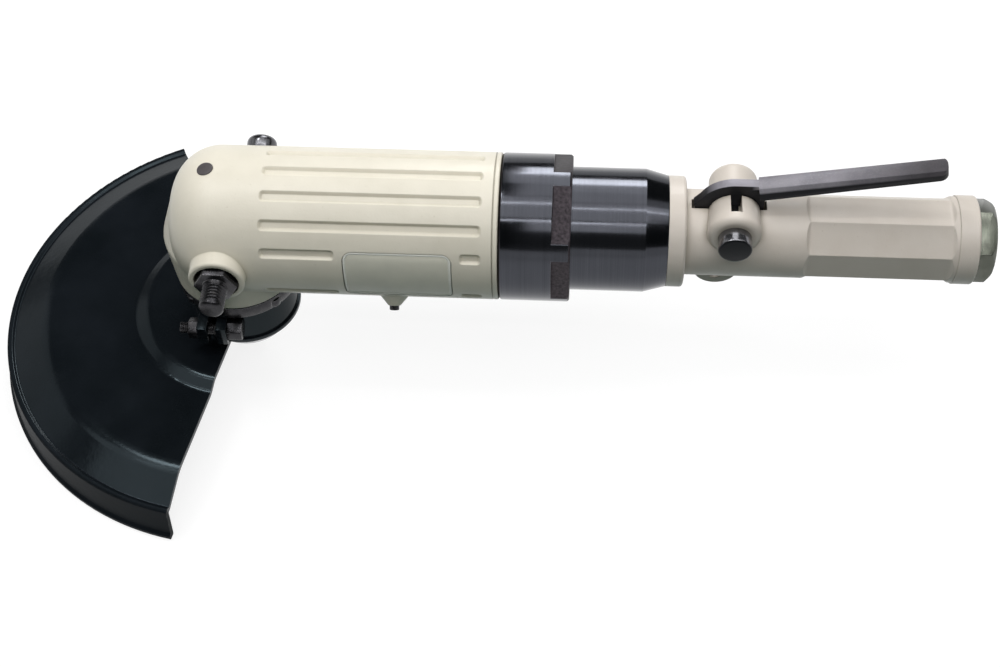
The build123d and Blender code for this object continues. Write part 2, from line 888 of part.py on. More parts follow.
with BuildPart() as output_spindle:
    turned(Axis.Z, Plane.XZ, [
        (0, -thread_length),
        (spindle_radius - spindle_chamfer, -thread_length),
        (spindle_radius, spindle_chamfer - thread_length),
        (spindle_radius, -pilot_height),
        (flange_seat_radius, -pilot_height),
        (flange_seat_radius, shoulder_height),
        (shoulder_radius, shoulder_height),
        (shoulder_radius, bearing_ledge),
        (journal_radius, bearing_ledge),
        (journal_radius, gear_back),
        (gear_bore, gear_back),
        (gear_bore, gear_front),
        (gear_nut_thread, gear_front),
        (gear_nut_thread, nut_top),
        (top_journal_radius, nut_top),
        (top_journal_radius, spindle_top - slip),
        (0, spindle_top - slip),
    ])
    block(
        side_plane,
        (gear_key_block[0][0] - slip, gear_bore + key_height),
        (gear_key_block[1][0], gear_key_block[1][1] + slip),
        key_width / 2 + slip,
        mode=Mode.SUBTRACT,
    )
output_spindle.part.label = "output_spindle"
export_step(output_spindle.part, "parts/output_spindle.step")

with BuildPart() as gear_nut:
    hexagon(Plane.XY.offset(gear_front), gear_nut_flats, gear_nut_height)
    rod(Plane.XY.offset(gear_front), gear_nut_thread + slip, gear_nut_height, mode=Mode.SUBTRACT)
gear_nut.part.label = "gear_nut"
export_step(gear_nut.part, "parts/gear_nut.step")

ledge_plane = Plane.XY.offset(bearing_ledge)
bearing_top = bearing_ledge + spindle_bearing_width
with BuildPart() as gear_spacer:
    rod(
        Plane.XY.offset(bearing_top),
        gear_spacer_radius,
        gear_back - bearing_top,
        bore=journal_radius + slip,
    )
gear_spacer.part.label = "gear_spacer"
export_step(gear_spacer.part, "parts/gear_spacer.step")

with BuildPart() as inner_flange:
    turned(Axis.Z, Plane.XZ, [
        (flange_seat_radius + slip, -pilot_height),
        (pilot_radius, -pilot_height),
        (pilot_radius, 0),
        (flange_radius, 0),
        (flange_radius, flange_thickness),
        (flange_hub_radius, flange_thickness + flange_cone),
        (flange_hub_radius, shoulder_height),
        (flange_seat_radius + slip, shoulder_height),
    ])
inner_flange.part.label = "inner_flange"
export_step(inner_flange.part, "parts/inner_flange.step")

with BuildPart() as lower_spindle_bearing:
    ball_bearing(ledge_plane, spindle_bearing_radius, journal_radius + running, spindle_bearing_width)
lower_spindle_bearing.part.label = "lower_spindle_bearing"
export_step(lower_spindle_bearing.part, "parts/lower_spindle_bearing.step")

with BuildPart() as upper_spindle_bearing:
    ball_bearing(
        Plane.XY.offset(top_seat),
        top_bearing_radius,
        top_journal_radius + running,
        top_bearing_width,
    )
upper_spindle_bearing.part.label = "upper_spindle_bearing"
export_step(upper_spindle_bearing.part, "parts/upper_spindle_bearing.step")

# Spindle neck
neck_flange_bottom = head_bottom - neck_flange_thickness
screw_head_top = neck_flange_bottom + neck_screw_head_height
seal_bottom = neck_bottom + neck_lip

with BuildPart() as spindle_neck:
    turned(Axis.Z, Plane.XZ, [
        (shoulder_radius + neck_lip_gap, neck_bottom),
        (neck_radius, neck_bottom),
        (neck_radius, neck_flange_bottom),
        (head_foot_radius - neck_flange_step, neck_flange_bottom),
        (head_foot_radius - neck_flange_step, head_bottom),
        (spindle_bearing_radius + slip, head_bottom),
        (spindle_bearing_radius + slip, bearing_ledge),
        (seal_radius, bearing_ledge),
        (seal_radius, seal_bottom),
        (shoulder_radius + neck_lip_gap, seal_bottom),
    ])
    with Locations(Plane.XY.offset(neck_flange_bottom)):
        with PolarLocations(neck_screw_circle, neck_screw_count, 180 / neck_screw_count):
            Cylinder(
                neck_screw_radius + neck_screw_gap,
                neck_flange_thickness,
                align=(Align.CENTER, Align.CENTER, Align.MIN),
                mode=Mode.SUBTRACT,
            )
            Cylinder(
                neck_screw_head_radius + neck_screw_gap,
                neck_screw_head_height,
                align=(Align.CENTER, Align.CENTER, Align.MIN),
                mode=Mode.SUBTRACT,
            )
spindle_neck.part.label = "spindle_neck"
export_step(spindle_neck.part, "parts/spindle_neck.step")

with BuildPart() as neck_screws:
    with Locations(Plane.XY.offset(neck_flange_bottom)):
        with PolarLocations(neck_screw_circle, neck_screw_count, 180 / neck_screw_count):
            Cylinder(
                neck_screw_head_radius,
                neck_screw_head_height,
                align=(Align.CENTER, Align.CENTER, Align.MIN),
            )
            Cylinder(
                neck_screw_radius,
                head_bottom + neck_screw_length - neck_flange_bottom,
                align=(Align.CENTER, Align.CENTER, Align.MIN),
            )
            Cylinder(
                neck_screw_socket / 2,
                neck_screw_socket_depth,
                align=(Align.CENTER, Align.CENTER, Align.MIN),
                mode=Mode.SUBTRACT,
            )
neck_screws.part.label = "neck_screws"
export_step(neck_screws.part, "parts/neck_screws.step")

with BuildPart() as bearing_retainer:
    rod(
        Plane.XY.offset(bearing_top),
        spindle_bearing_radius,
        retainer_height,
        bore=gear_spacer_radius + touch_gap,
    )
bearing_retainer.part.label = "bearing_retainer"
export_step(bearing_retainer.part, "parts/bearing_retainer.step")

with BuildPart() as spindle_seal:
    rod(Plane.XY.offset(seal_bottom), seal_radius - slip, seal_height, bore=shoulder_radius + running)
spindle_seal.part.label = "spindle_seal"
export_step(spindle_seal.part, "parts/spindle_seal.step")

# Clamp nut and exhaust sleeve
nut_start = barrel_end + nut_gap
nut_bore = spigot_radius + slip

with BuildPart() as clamp_nut:
    turned(body_axis, side_plane, [
        (nut_start, nut_bore),
        (nut_start, barrel_radius - nut_chamfer),
        (nut_start + nut_chamfer, barrel_radius),
        (nut_end - nut_chamfer, barrel_radius),
        (nut_end, barrel_radius - nut_chamfer),
        (nut_end, sleeve_radius + slip),
        (nut_ledge, sleeve_radius + slip),
        (nut_ledge, nut_bore),
    ])
    with BuildSketch(body_plane.offset(nut_end - nut_flats_length)) as flats:
        Circle(2 * barrel_radius)
        RegularPolygon(
            barrel_radius - nut_flat_depth,
            hex_sides,
            major_radius=False,
            rotation=half_side,
            mode=Mode.SUBTRACT,
        )
    extrude(flats.sketch, amount=nut_flats_length, mode=Mode.SUBTRACT)
clamp_nut.part.label = "clamp_nut"
export_step(clamp_nut.part, "parts/clamp_nut.step")

with BuildPart() as exhaust_sleeve:
    turned(body_axis, side_plane, [
        (spigot_end, sleeve_bore),
        (spigot_end, spigot_radius),
        (nut_ledge, spigot_radius),
        (nut_ledge, sleeve_radius),
        (sleeve_cone_start, sleeve_radius, sleeve_edge),
        (sleeve_end, handle_flange_radius),
        (sleeve_end, sleeve_bore),
    ])
exhaust_sleeve.part.label = "exhaust_sleeve"
export_step(exhaust_sleeve.part, "parts/exhaust_sleeve.step")

# Throttle handle
pivot = (boss_x, 0, axis_height + boss_rise)
pivot_axis = Axis(pivot, (0, -1, 0))
boss_plane = Plane(origin=pivot, x_dir=(0, -1, 0), z_dir=(-1, 0, 0))
lever_plane = Plane(origin=pivot, x_dir=(1, 0, 0), z_dir=(0, -1, 0))
passage_plane = Plane(origin=(0, 0, axis_height - passage_drop), x_dir=(0, 1, 0), z_dir=(1, 0, 0))
handle_front = sleeve_end - handle_spigot_length
handle_spigot_radius = sleeve_bore - slip
seal_floor = handle_spigot_radius - seal_ring_depth
pin_reach = boss_far - pin_far_margin
plunger_x = boss_x + plunger_arm
slot_top = boss_rise + 2 * boss_radius
socket_x = handle_end - inlet_socket_depth
grip_face = handle_neck_radius - grip_flat_depth
seal_ring_x = handle_front + seal_ring_inset

with BuildPart() as throttle_handle:
    turned(body_axis, side_plane, [
        (handle_front, 0),
        (handle_front, handle_spigot_radius),
        (sleeve_end, handle_spigot_radius),
        (sleeve_end, handle_flange_radius),
        (handle_flange_end, handle_flange_radius, handle_flange_rounding),
        (handle_flange_end, handle_neck_radius),
        (collar_start, handle_neck_radius),
        (collar_start, collar_radius, (collar_radius - handle_neck_radius) / 2),
        (handle_end, collar_radius, collar_rounding),
        (handle_end, 0),
    ])
    # Eight flats of the grip, with ramps at their ends
    for side in range(grip_sides):
        across = radians(side * 360 / grip_sides)
        flat_plane = Plane(origin=body_origin, x_dir=(1, 0, 0), z_dir=(0, -cos(across), -sin(across)))
        with BuildSketch(flat_plane) as flat:
            with BuildLine():
                FilletPolyline(
                    (grip_start - grip_ramp, grip_face + grip_ramp),
                    (grip_start, grip_face),
                    (grip_end, grip_face),
                    (grip_end + grip_ramp, grip_face + grip_ramp),
                    radius=(0, grip_ramp_rounding, grip_ramp_rounding, 0),
                    close=True,
                )
            make_face()
        extrude(flat.sketch, amount=handle_neck_radius, both=True, mode=Mode.SUBTRACT)
    # Cross boss and hang eye
    turned(pivot_axis, boss_plane, [
        (-boss_far, 0),
        (-boss_far, boss_far_radius, boss_far_rounding),
        (boss_near, boss_radius, boss_near_rounding),
        (boss_near, 0),
    ])
    with BuildSketch(side_plane) as eye:
        with Locations((eye_x, -eye_drop)):
            Circle(eye_radius)
        with Locations((eye_x, -eye_drop / 2)):
            Rectangle(2 * eye_radius, eye_drop)
        with Locations((eye_x, -eye_drop - eye_hole_hang)):
            Circle(eye_hole_radius, mode=Mode.SUBTRACT)
    extrude(eye.sketch, amount=eye_thickness / 2, both=True)
    # Lever slot and the short key slot that opens from it
    block(
        side_plane,
        (boss_x - slot_before, boss_x + slot_after),
        (slot_floor, slot_top),
        slot_width / 2,
        mode=Mode.SUBTRACT,
    )
    block(
        boss_plane,
        (0, key_slot_reach),
        (boss_radius - key_slot_depth, 2 * boss_radius),
        key_slot_width / 2,
        mode=Mode.SUBTRACT,
    )
    # Air passage, valve chamber, inlet socket, pin hole and plunger hole
    rod(
        passage_plane.offset(handle_front),
        front_passage_radius,
        valve_seat_front - handle_front,
        mode=Mode.SUBTRACT,
    )
    rod(
        passage_plane.offset(valve_seat_front),
        valve_chamber_radius,
        socket_x - valve_seat_front,
        mode=Mode.SUBTRACT,
    )
    rod(body_plane.offset(socket_x), inlet_socket_radius, inlet_socket_depth, mode=Mode.SUBTRACT)
    rod(lever_plane.offset(-pin_reach), pin_radius + slip, pin_reach + boss_near, mode=Mode.SUBTRACT)
    rod(
        Plane(origin=(plunger_x, 0, axis_height - passage_drop)),
        plunger_radius + slip,
        slot_floor + passage_drop,
        mode=Mode.SUBTRACT,
    )
    # Groove of the seal ring
    rod(
        body_plane.offset(seal_ring_x),
        handle_spigot_radius,
        seal_ring_width + 2 * slip,
        bore=seal_floor,
        mode=Mode.SUBTRACT,
    )
throttle_handle.part.label = "throttle_handle"
export_step(throttle_handle.part, "parts/throttle_handle.step")

with BuildPart() as handle_seal:
    rod(
        body_plane.offset(seal_ring_x + slip),
        handle_spigot_radius,
        seal_ring_width,
        bore=seal_floor + slip,
    )
handle_seal.part.label = "handle_seal"
export_step(handle_seal.part, "parts/handle_seal.step")

# Throttle pin and lever
with BuildPart() as throttle_pin:
    turned(pivot_axis, boss_plane, [
        (-pin_reach, 0),
        (-pin_reach, pin_radius),
        (boss_near, pin_radius),
        (boss_near, pin_head_radius),
        (boss_near + pin_head_height - pin_head_chamfer, pin_head_radius),
        (boss_near + pin_head_height, pin_head_radius - pin_head_chamfer),
        (boss_near + pin_head_height, 0),
    ])
throttle_pin.part.label = "throttle_pin"
export_step(throttle_pin.part, "parts/throttle_pin.step")

arc_right = (lever_arc_right, sqrt(lever_arc_radius**2 - lever_arc_right**2))
arc_left = (-sqrt(lever_arc_radius**2 - hook_neck_rise**2), hook_neck_rise)
slope = radians(paddle_slope)
paddle_along = Vector(cos(slope), 0, sin(slope))
paddle_normal = Vector(-sin(slope), 0, cos(slope))
paddle_start = Vector(pivot) + Vector(paddle_start_x, 0, paddle_start_rise)
paddle_plane = Plane(origin=paddle_start, x_dir=paddle_along, z_dir=paddle_normal)
web_top = paddle_start_rise + lever_web_length * tan(slope)

with BuildPart() as throttle_lever:
    # Paddle with a flat crown and sloping sides
    with BuildSketch(paddle_plane) as paddle:
        with BuildLine():
            Polyline(
                (0, paddle_width / 2),
                (paddle_length, paddle_end_width / 2),
                (paddle_length, -paddle_end_width / 2),
                (0, -paddle_width / 2),
                close=True,
            )
        make_face()
        fillet(paddle.vertices().group_by(Axis.X)[-1], paddle_end_rounding)
    extrude(paddle.sketch, amount=-paddle_thickness)
    for side in (1, -1):
        with BuildSketch(Plane(origin=paddle_start, x_dir=(0, 1, 0), z_dir=paddle_along)) as fall:
            with BuildLine():
                Polyline(
                    (side * paddle_crown / 2, 0),
                    (side * (paddle_crown / 2 + paddle_width), 0),
                    (side * (paddle_crown / 2 + paddle_width), -paddle_width * tan(radians(paddle_fall))),
                    close=True,
                )
            make_face()
        extrude(fall.sketch, amount=paddle_length, mode=Mode.SUBTRACT)
    # Hub plate with its hook tail, and the web that runs under the paddle
    with BuildSketch(lever_plane) as hub:
        with BuildLine():
            ThreePointArc(arc_right, (0, lever_arc_radius), arc_left)
            Polyline(
                arc_left,
                (hook_tip_x, hook_tip_rise),
                (hook_heel_x, hook_heel_rise),
                (hook_bottom_x, hook_bottom_rise),
                (0, lever_underside),
                (lever_arc_right, lever_underside),
                arc_right,
            )
        make_face()
        Circle(lever_hub_radius)
        with BuildLine():
            Polyline(
                (0, lever_arc_radius - lever_web_depth),
                (0, lever_arc_radius),
                (paddle_start_x, paddle_start_rise),
                (paddle_start_x + lever_web_length, web_top),
                (paddle_start_x + lever_web_length, web_top - lever_web_depth),
                (lever_arc_right, arc_right[1] - lever_web_depth),
                close=True,
            )
        make_face()
        Circle(pin_radius + slip, mode=Mode.SUBTRACT)
    extrude(hub.sketch, amount=lever_thickness / 2, both=True)
throttle_lever.part.label = "throttle_lever"
export_step(throttle_lever.part, "parts/throttle_lever.step")

# Throttle valve
stem_z = axis_height - passage_drop
seat_face = valve_seat_front + valve_seat_length
disc_front = seat_face + valve_disc_gap
disc_back = disc_front + valve_disc_thickness
tip_front = disc_front - valve_tip_reach
plunger_bottom = stem_z + valve_tip_radius + touch_gap
plunger_top = axis_height + boss_rise + lever_underside - touch_gap
spring_start = disc_back + spring_wire + spring_end_gap
retainer_x = spring_start + spring_length + spring_wire + spring_end_gap

with BuildPart() as valve_seat:
    rod(
        passage_plane.offset(valve_seat_front),
        valve_chamber_radius - slip,
        valve_seat_length,
        bore=valve_seat_bore,
    )
valve_seat.part.label = "valve_seat"
export_step(valve_seat.part, "parts/valve_seat.step")

with BuildPart() as tilt_valve:
    rod(passage_plane.offset(disc_front), valve_disc_radius, valve_disc_thickness)
    rod(passage_plane.offset(tip_front), valve_stem_radius, valve_tip_reach)
    rod(passage_plane.offset(tip_front), valve_tip_radius, valve_tip_length)
tilt_valve.part.label = "tilt_valve"
export_step(tilt_valve.part, "parts/tilt_valve.step")

with BuildPart() as valve_plunger:
    rod(Plane(origin=(plunger_x, 0, plunger_bottom)), plunger_radius, plunger_top - plunger_bottom)
    fillet(edges().filter_by(GeomType.CIRCLE), plunger_rounding)
valve_plunger.part.label = "valve_plunger"
export_step(valve_plunger.part, "parts/valve_plunger.step")

spring_plane = passage_plane.offset(spring_start)
with BuildPart() as valve_spring:
    with BuildLine() as coil:
        Helix(
            spring_length / spring_turns,
            spring_length,
            spring_radius,
            spring_plane.origin,
            spring_plane.z_dir,
        )
    with BuildSketch(Plane(coil.line @ 0, z_dir=coil.line % 0)):
        Circle(spring_wire)
    sweep(is_frenet=True)
valve_spring.part.label = "valve_spring"
export_step(valve_spring.part, "parts/valve_spring.step")

with BuildPart() as spring_retainer:
    rod(
        passage_plane.offset(retainer_x),
        valve_chamber_radius - slip,
        retainer_thickness,
        bore=retainer_bore,
    )
spring_retainer.part.label = "spring_retainer"
export_step(spring_retainer.part, "parts/spring_retainer.step")

# Air inlet
screen_x = socket_x

with BuildPart() as inlet_screen:
    rod(body_plane.offset(screen_x), inlet_socket_radius - slip, screen_thickness)
    with Locations(body_plane.offset(screen_x)):
        for circle in range(1, screen_hole_circles + 1):
            with PolarLocations(circle * screen_hole_step, screen_hole_count):
                Cylinder(
                    screen_hole_radius,
                    screen_thickness,
                    align=(Align.CENTER, Align.CENTER, Align.MIN),
                    mode=Mode.SUBTRACT,
                )
inlet_screen.part.label = "inlet_screen"
export_step(inlet_screen.part, "parts/inlet_screen.step")

bush_start = screen_x + screen_thickness
bush_end = handle_end + inlet_hex_length
with BuildPart() as inlet_bush:
    rod(body_plane.offset(bush_start), inlet_socket_radius - slip, handle_end - bush_start)
    hexagon(body_plane.offset(handle_end), inlet_hex, inlet_hex_length, turn=half_side)
    turned(body_axis, side_plane, [
        (bush_start, 0),
        (bush_start, inlet_face_radius + inlet_face_bevel),
        (bush_end - inlet_face_bevel, inlet_face_radius + inlet_face_bevel),
        (bush_end, inlet_face_radius),
        (bush_end, 0),
    ], mode=Mode.INTERSECT)
    rod(body_plane.offset(bush_start), inlet_thread_radius, bush_end - bush_start, mode=Mode.SUBTRACT)
inlet_bush.part.label = "inlet_bush"
export_step(inlet_bush.part, "parts/inlet_bush.step")

# Guard
collar_bore = neck_radius + slip
collar_outer = neck_radius + collar_thickness
guard_collar_top = neck_flange_bottom - collar_top_gap
ear_top = guard_collar_top + ear_rise
ear_bottom = ear_top - ear_height
clamp_y = collar_outer + clamp_head_flats / 2 + clamp_head_gap
clamp_z = ear_top - ear_height / 2
ear_reach = clamp_y + ear_margin
split_left = split_x - split_width / 2
split_right = split_x + split_width / 2
ear_left = split_left - ear_thickness
ear_right = split_right + ear_thickness
clamp_plane = Plane(origin=(0, -clamp_y, clamp_z), x_dir=(0, 1, 0), z_dir=(1, 0, 0))
clamp_start = ear_left - clamp_nut_height - clamp_tail

with BuildPart() as guard_collar:
    # Two ears beside the split, then the band with its lower lip
    for left, right in ((ear_left, split_left), (split_right, ear_right)):
        block(Plane.XZ, (left, right), (ear_bottom, ear_top), ear_reach)
    block(
        Plane.XZ.offset(-ear_reach),
        (ear_left, ear_right),
        (ear_bottom, ear_top),
        ear_reach,
        mode=Mode.SUBTRACT,
    )
    rod(Plane.XY.offset(guard_collar_bottom), collar_outer, guard_collar_top - guard_collar_bottom)
    rod(Plane.XY.offset(guard_collar_bottom), collar_outer + collar_lip_width, collar_lip_height)
    rod(Plane.XY, collar_bore, axis_height, mode=Mode.SUBTRACT)
    block(
        Plane.XZ.offset(ear_reach),
        (split_left, split_right),
        (guard_collar_bottom, ear_top),
        ear_reach,
        mode=Mode.SUBTRACT,
    )
    rod(clamp_plane.offset(ear_left), clamp_radius + clamp_gap, ear_right - ear_left, mode=Mode.SUBTRACT)
guard_collar.part.label = "guard_collar"
export_step(guard_collar.part, "parts/guard_collar.step")

with BuildPart() as guard_clamp_bolt:
    rod(clamp_plane.offset(clamp_start), clamp_radius, ear_right - clamp_start)
    hexagon(clamp_plane.offset(ear_right), clamp_head_flats, clamp_head_height, turn=half_side)
guard_clamp_bolt.part.label = "guard_clamp_bolt"
export_step(guard_clamp_bolt.part, "parts/guard_clamp_bolt.step")

with BuildPart() as guard_clamp_nut:
    hexagon(
        clamp_plane.offset(ear_left - clamp_nut_height),
        clamp_head_flats,
        clamp_nut_height,
        turn=half_side,
    )
    rod(
        clamp_plane.offset(ear_left - clamp_nut_height),
        clamp_radius + slip,
        clamp_nut_height,
        mode=Mode.SUBTRACT,
    )
guard_clamp_nut.part.label = "guard_clamp_nut"
export_step(guard_clamp_nut.part, "parts/guard_clamp_nut.step")

# The sheet runs from its far end round the front of the head to its near end
guard_from = radians(180 - guard_far_angle)
guard_plane = Plane(
    origin=(0, 0, guard_collar_bottom),
    x_dir=(cos(guard_from), sin(guard_from), 0),
    z_dir=(sin(guard_from), -cos(guard_from), 0),
)
mid_drop = -guard_first_step
guard_mid_end = guard_radius - guard_rim_width
outer_drop = mid_drop - guard_second_step
lip_start = guard_radius - guard_lip
lip_top = outer_drop + guard_lip_rise
skirt_drop = guard_skirt_bottom - guard_collar_bottom
skirt_inside = guard_radius - guard_sheet
foot_radius = guard_radius + guard_flare

with BuildPart() as guard_plate:
    # The sheet's section: upper side outwards to the skirt's foot, then back along the lower side
    with BuildSketch(guard_plane) as section:
        with BuildLine():
            FilletPolyline(
                (collar_bore, 0),
                (guard_inner_end, 0),
                (guard_inner_end + guard_first_run, mid_drop),
                (guard_mid_end, mid_drop),
                (lip_start, outer_drop),
                (lip_start + guard_lip_run, lip_top),
                (guard_radius, lip_top),
                (foot_radius, skirt_drop + guard_bead_height),
                (foot_radius + guard_bead, skirt_drop + guard_bead_height - guard_bead),
                (foot_radius + guard_bead, skirt_drop),
                (foot_radius - guard_sheet, skirt_drop),
                (skirt_inside, outer_drop - guard_sheet),
                (lip_start, outer_drop - guard_sheet),
                (guard_mid_end, mid_drop - guard_sheet),
                (guard_inner_end + guard_first_run, mid_drop - guard_sheet),
                (guard_inner_end, -guard_sheet),
                (collar_bore, -guard_sheet),
                radius=(
                    0,
                    guard_bend + guard_sheet,
                    guard_bend,
                    guard_soft_bend + guard_sheet,
                    guard_lip_bend,
                    guard_lip_bend,
                    guard_rim_bend,
                    guard_lip_bend,
                    guard_lip_bend,
                    guard_rim_bend,
                    guard_lip_bend,
                    guard_lip_bend,
                    guard_bend,
                    guard_soft_bend,
                    guard_bend + guard_sheet,
                    guard_bend,
                    0,
                ),
                close=True,
            )
        make_face()
    revolve(section.sketch, axis=Axis.Z, revolution_arc=guard_far_angle + guard_near_angle)
guard_plate.part.label = "guard_plate"
export_step(guard_plate.part, "parts/guard_plate.step")
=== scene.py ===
import json
from math import atan2, cos, hypot, pi, radians, sin, tau

import bmesh
import bpy
from mathutils import Matrix, Vector


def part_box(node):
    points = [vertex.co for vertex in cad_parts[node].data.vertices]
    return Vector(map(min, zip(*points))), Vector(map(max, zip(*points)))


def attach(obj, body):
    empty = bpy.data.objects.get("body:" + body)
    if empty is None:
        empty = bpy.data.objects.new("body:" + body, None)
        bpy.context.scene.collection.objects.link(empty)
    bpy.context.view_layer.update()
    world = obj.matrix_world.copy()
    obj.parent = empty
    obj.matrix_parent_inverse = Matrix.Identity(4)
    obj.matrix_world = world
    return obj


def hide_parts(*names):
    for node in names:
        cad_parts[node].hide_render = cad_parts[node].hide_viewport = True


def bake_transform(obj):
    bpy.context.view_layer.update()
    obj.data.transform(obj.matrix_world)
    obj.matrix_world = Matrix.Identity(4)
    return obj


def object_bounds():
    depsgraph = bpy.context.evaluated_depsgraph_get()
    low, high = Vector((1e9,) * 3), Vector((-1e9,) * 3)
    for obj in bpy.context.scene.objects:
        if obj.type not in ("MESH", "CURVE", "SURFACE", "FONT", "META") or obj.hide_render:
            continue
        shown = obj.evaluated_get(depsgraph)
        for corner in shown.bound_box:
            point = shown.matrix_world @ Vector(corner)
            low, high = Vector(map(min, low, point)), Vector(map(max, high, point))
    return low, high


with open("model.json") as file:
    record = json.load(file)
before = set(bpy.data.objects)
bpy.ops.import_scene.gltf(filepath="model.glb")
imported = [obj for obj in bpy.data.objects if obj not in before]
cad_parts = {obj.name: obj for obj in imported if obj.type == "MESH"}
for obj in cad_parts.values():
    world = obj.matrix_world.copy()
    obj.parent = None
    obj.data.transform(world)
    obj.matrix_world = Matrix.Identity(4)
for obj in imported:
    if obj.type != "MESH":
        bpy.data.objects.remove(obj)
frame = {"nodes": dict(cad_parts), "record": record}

cad_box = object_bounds()
scene = bpy.context.scene
nodes = frame["nodes"]
slot_of = {entry["node"]: entry["material_slot"] for entry in frame["record"]["subparts"]}
carrier_of = {}
for body, carried in frame["record"]["behaviour"]["bodies"].items():
    for name in carried:
        carrier_of[name] = body

# Places on the object, in metres and radians
AXIS_Z = 0.063
CLAMP_Y = -0.0266
CLAMP_Z = 0.022
NUT_RADIUS = 0.030
PLATE_FACE = 0.0297
PLATE_CORNER = 0.0036
SKIRT_INSIDE = 0.1045
PIN_SKIN = 0.0005
PIN_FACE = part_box("throttle_pin")[0][1] + PIN_SKIN
NO_FACE = -1.0
HUB_END = 0.2125
PADDLE_X = 0.2139
PADDLE_Z = 0.0935
PADDLE_SLOPE = radians(11.1)
PADDLE_DEPTH = 0.0016
TIP_X = 0.255

# Shared values of the materials: where noise turns from one tone to the next, and a tone that changes nothing
NOISE_LOW = 0.3
NOISE_HIGH = 0.7
NOISE_ROUGHNESS = 0.55
EDGE_FULL = 0.30
CLEAN = (1, 1, 1)


def grey(level):
    """A colour with the same level in all channels."""
    return (level, level, level)


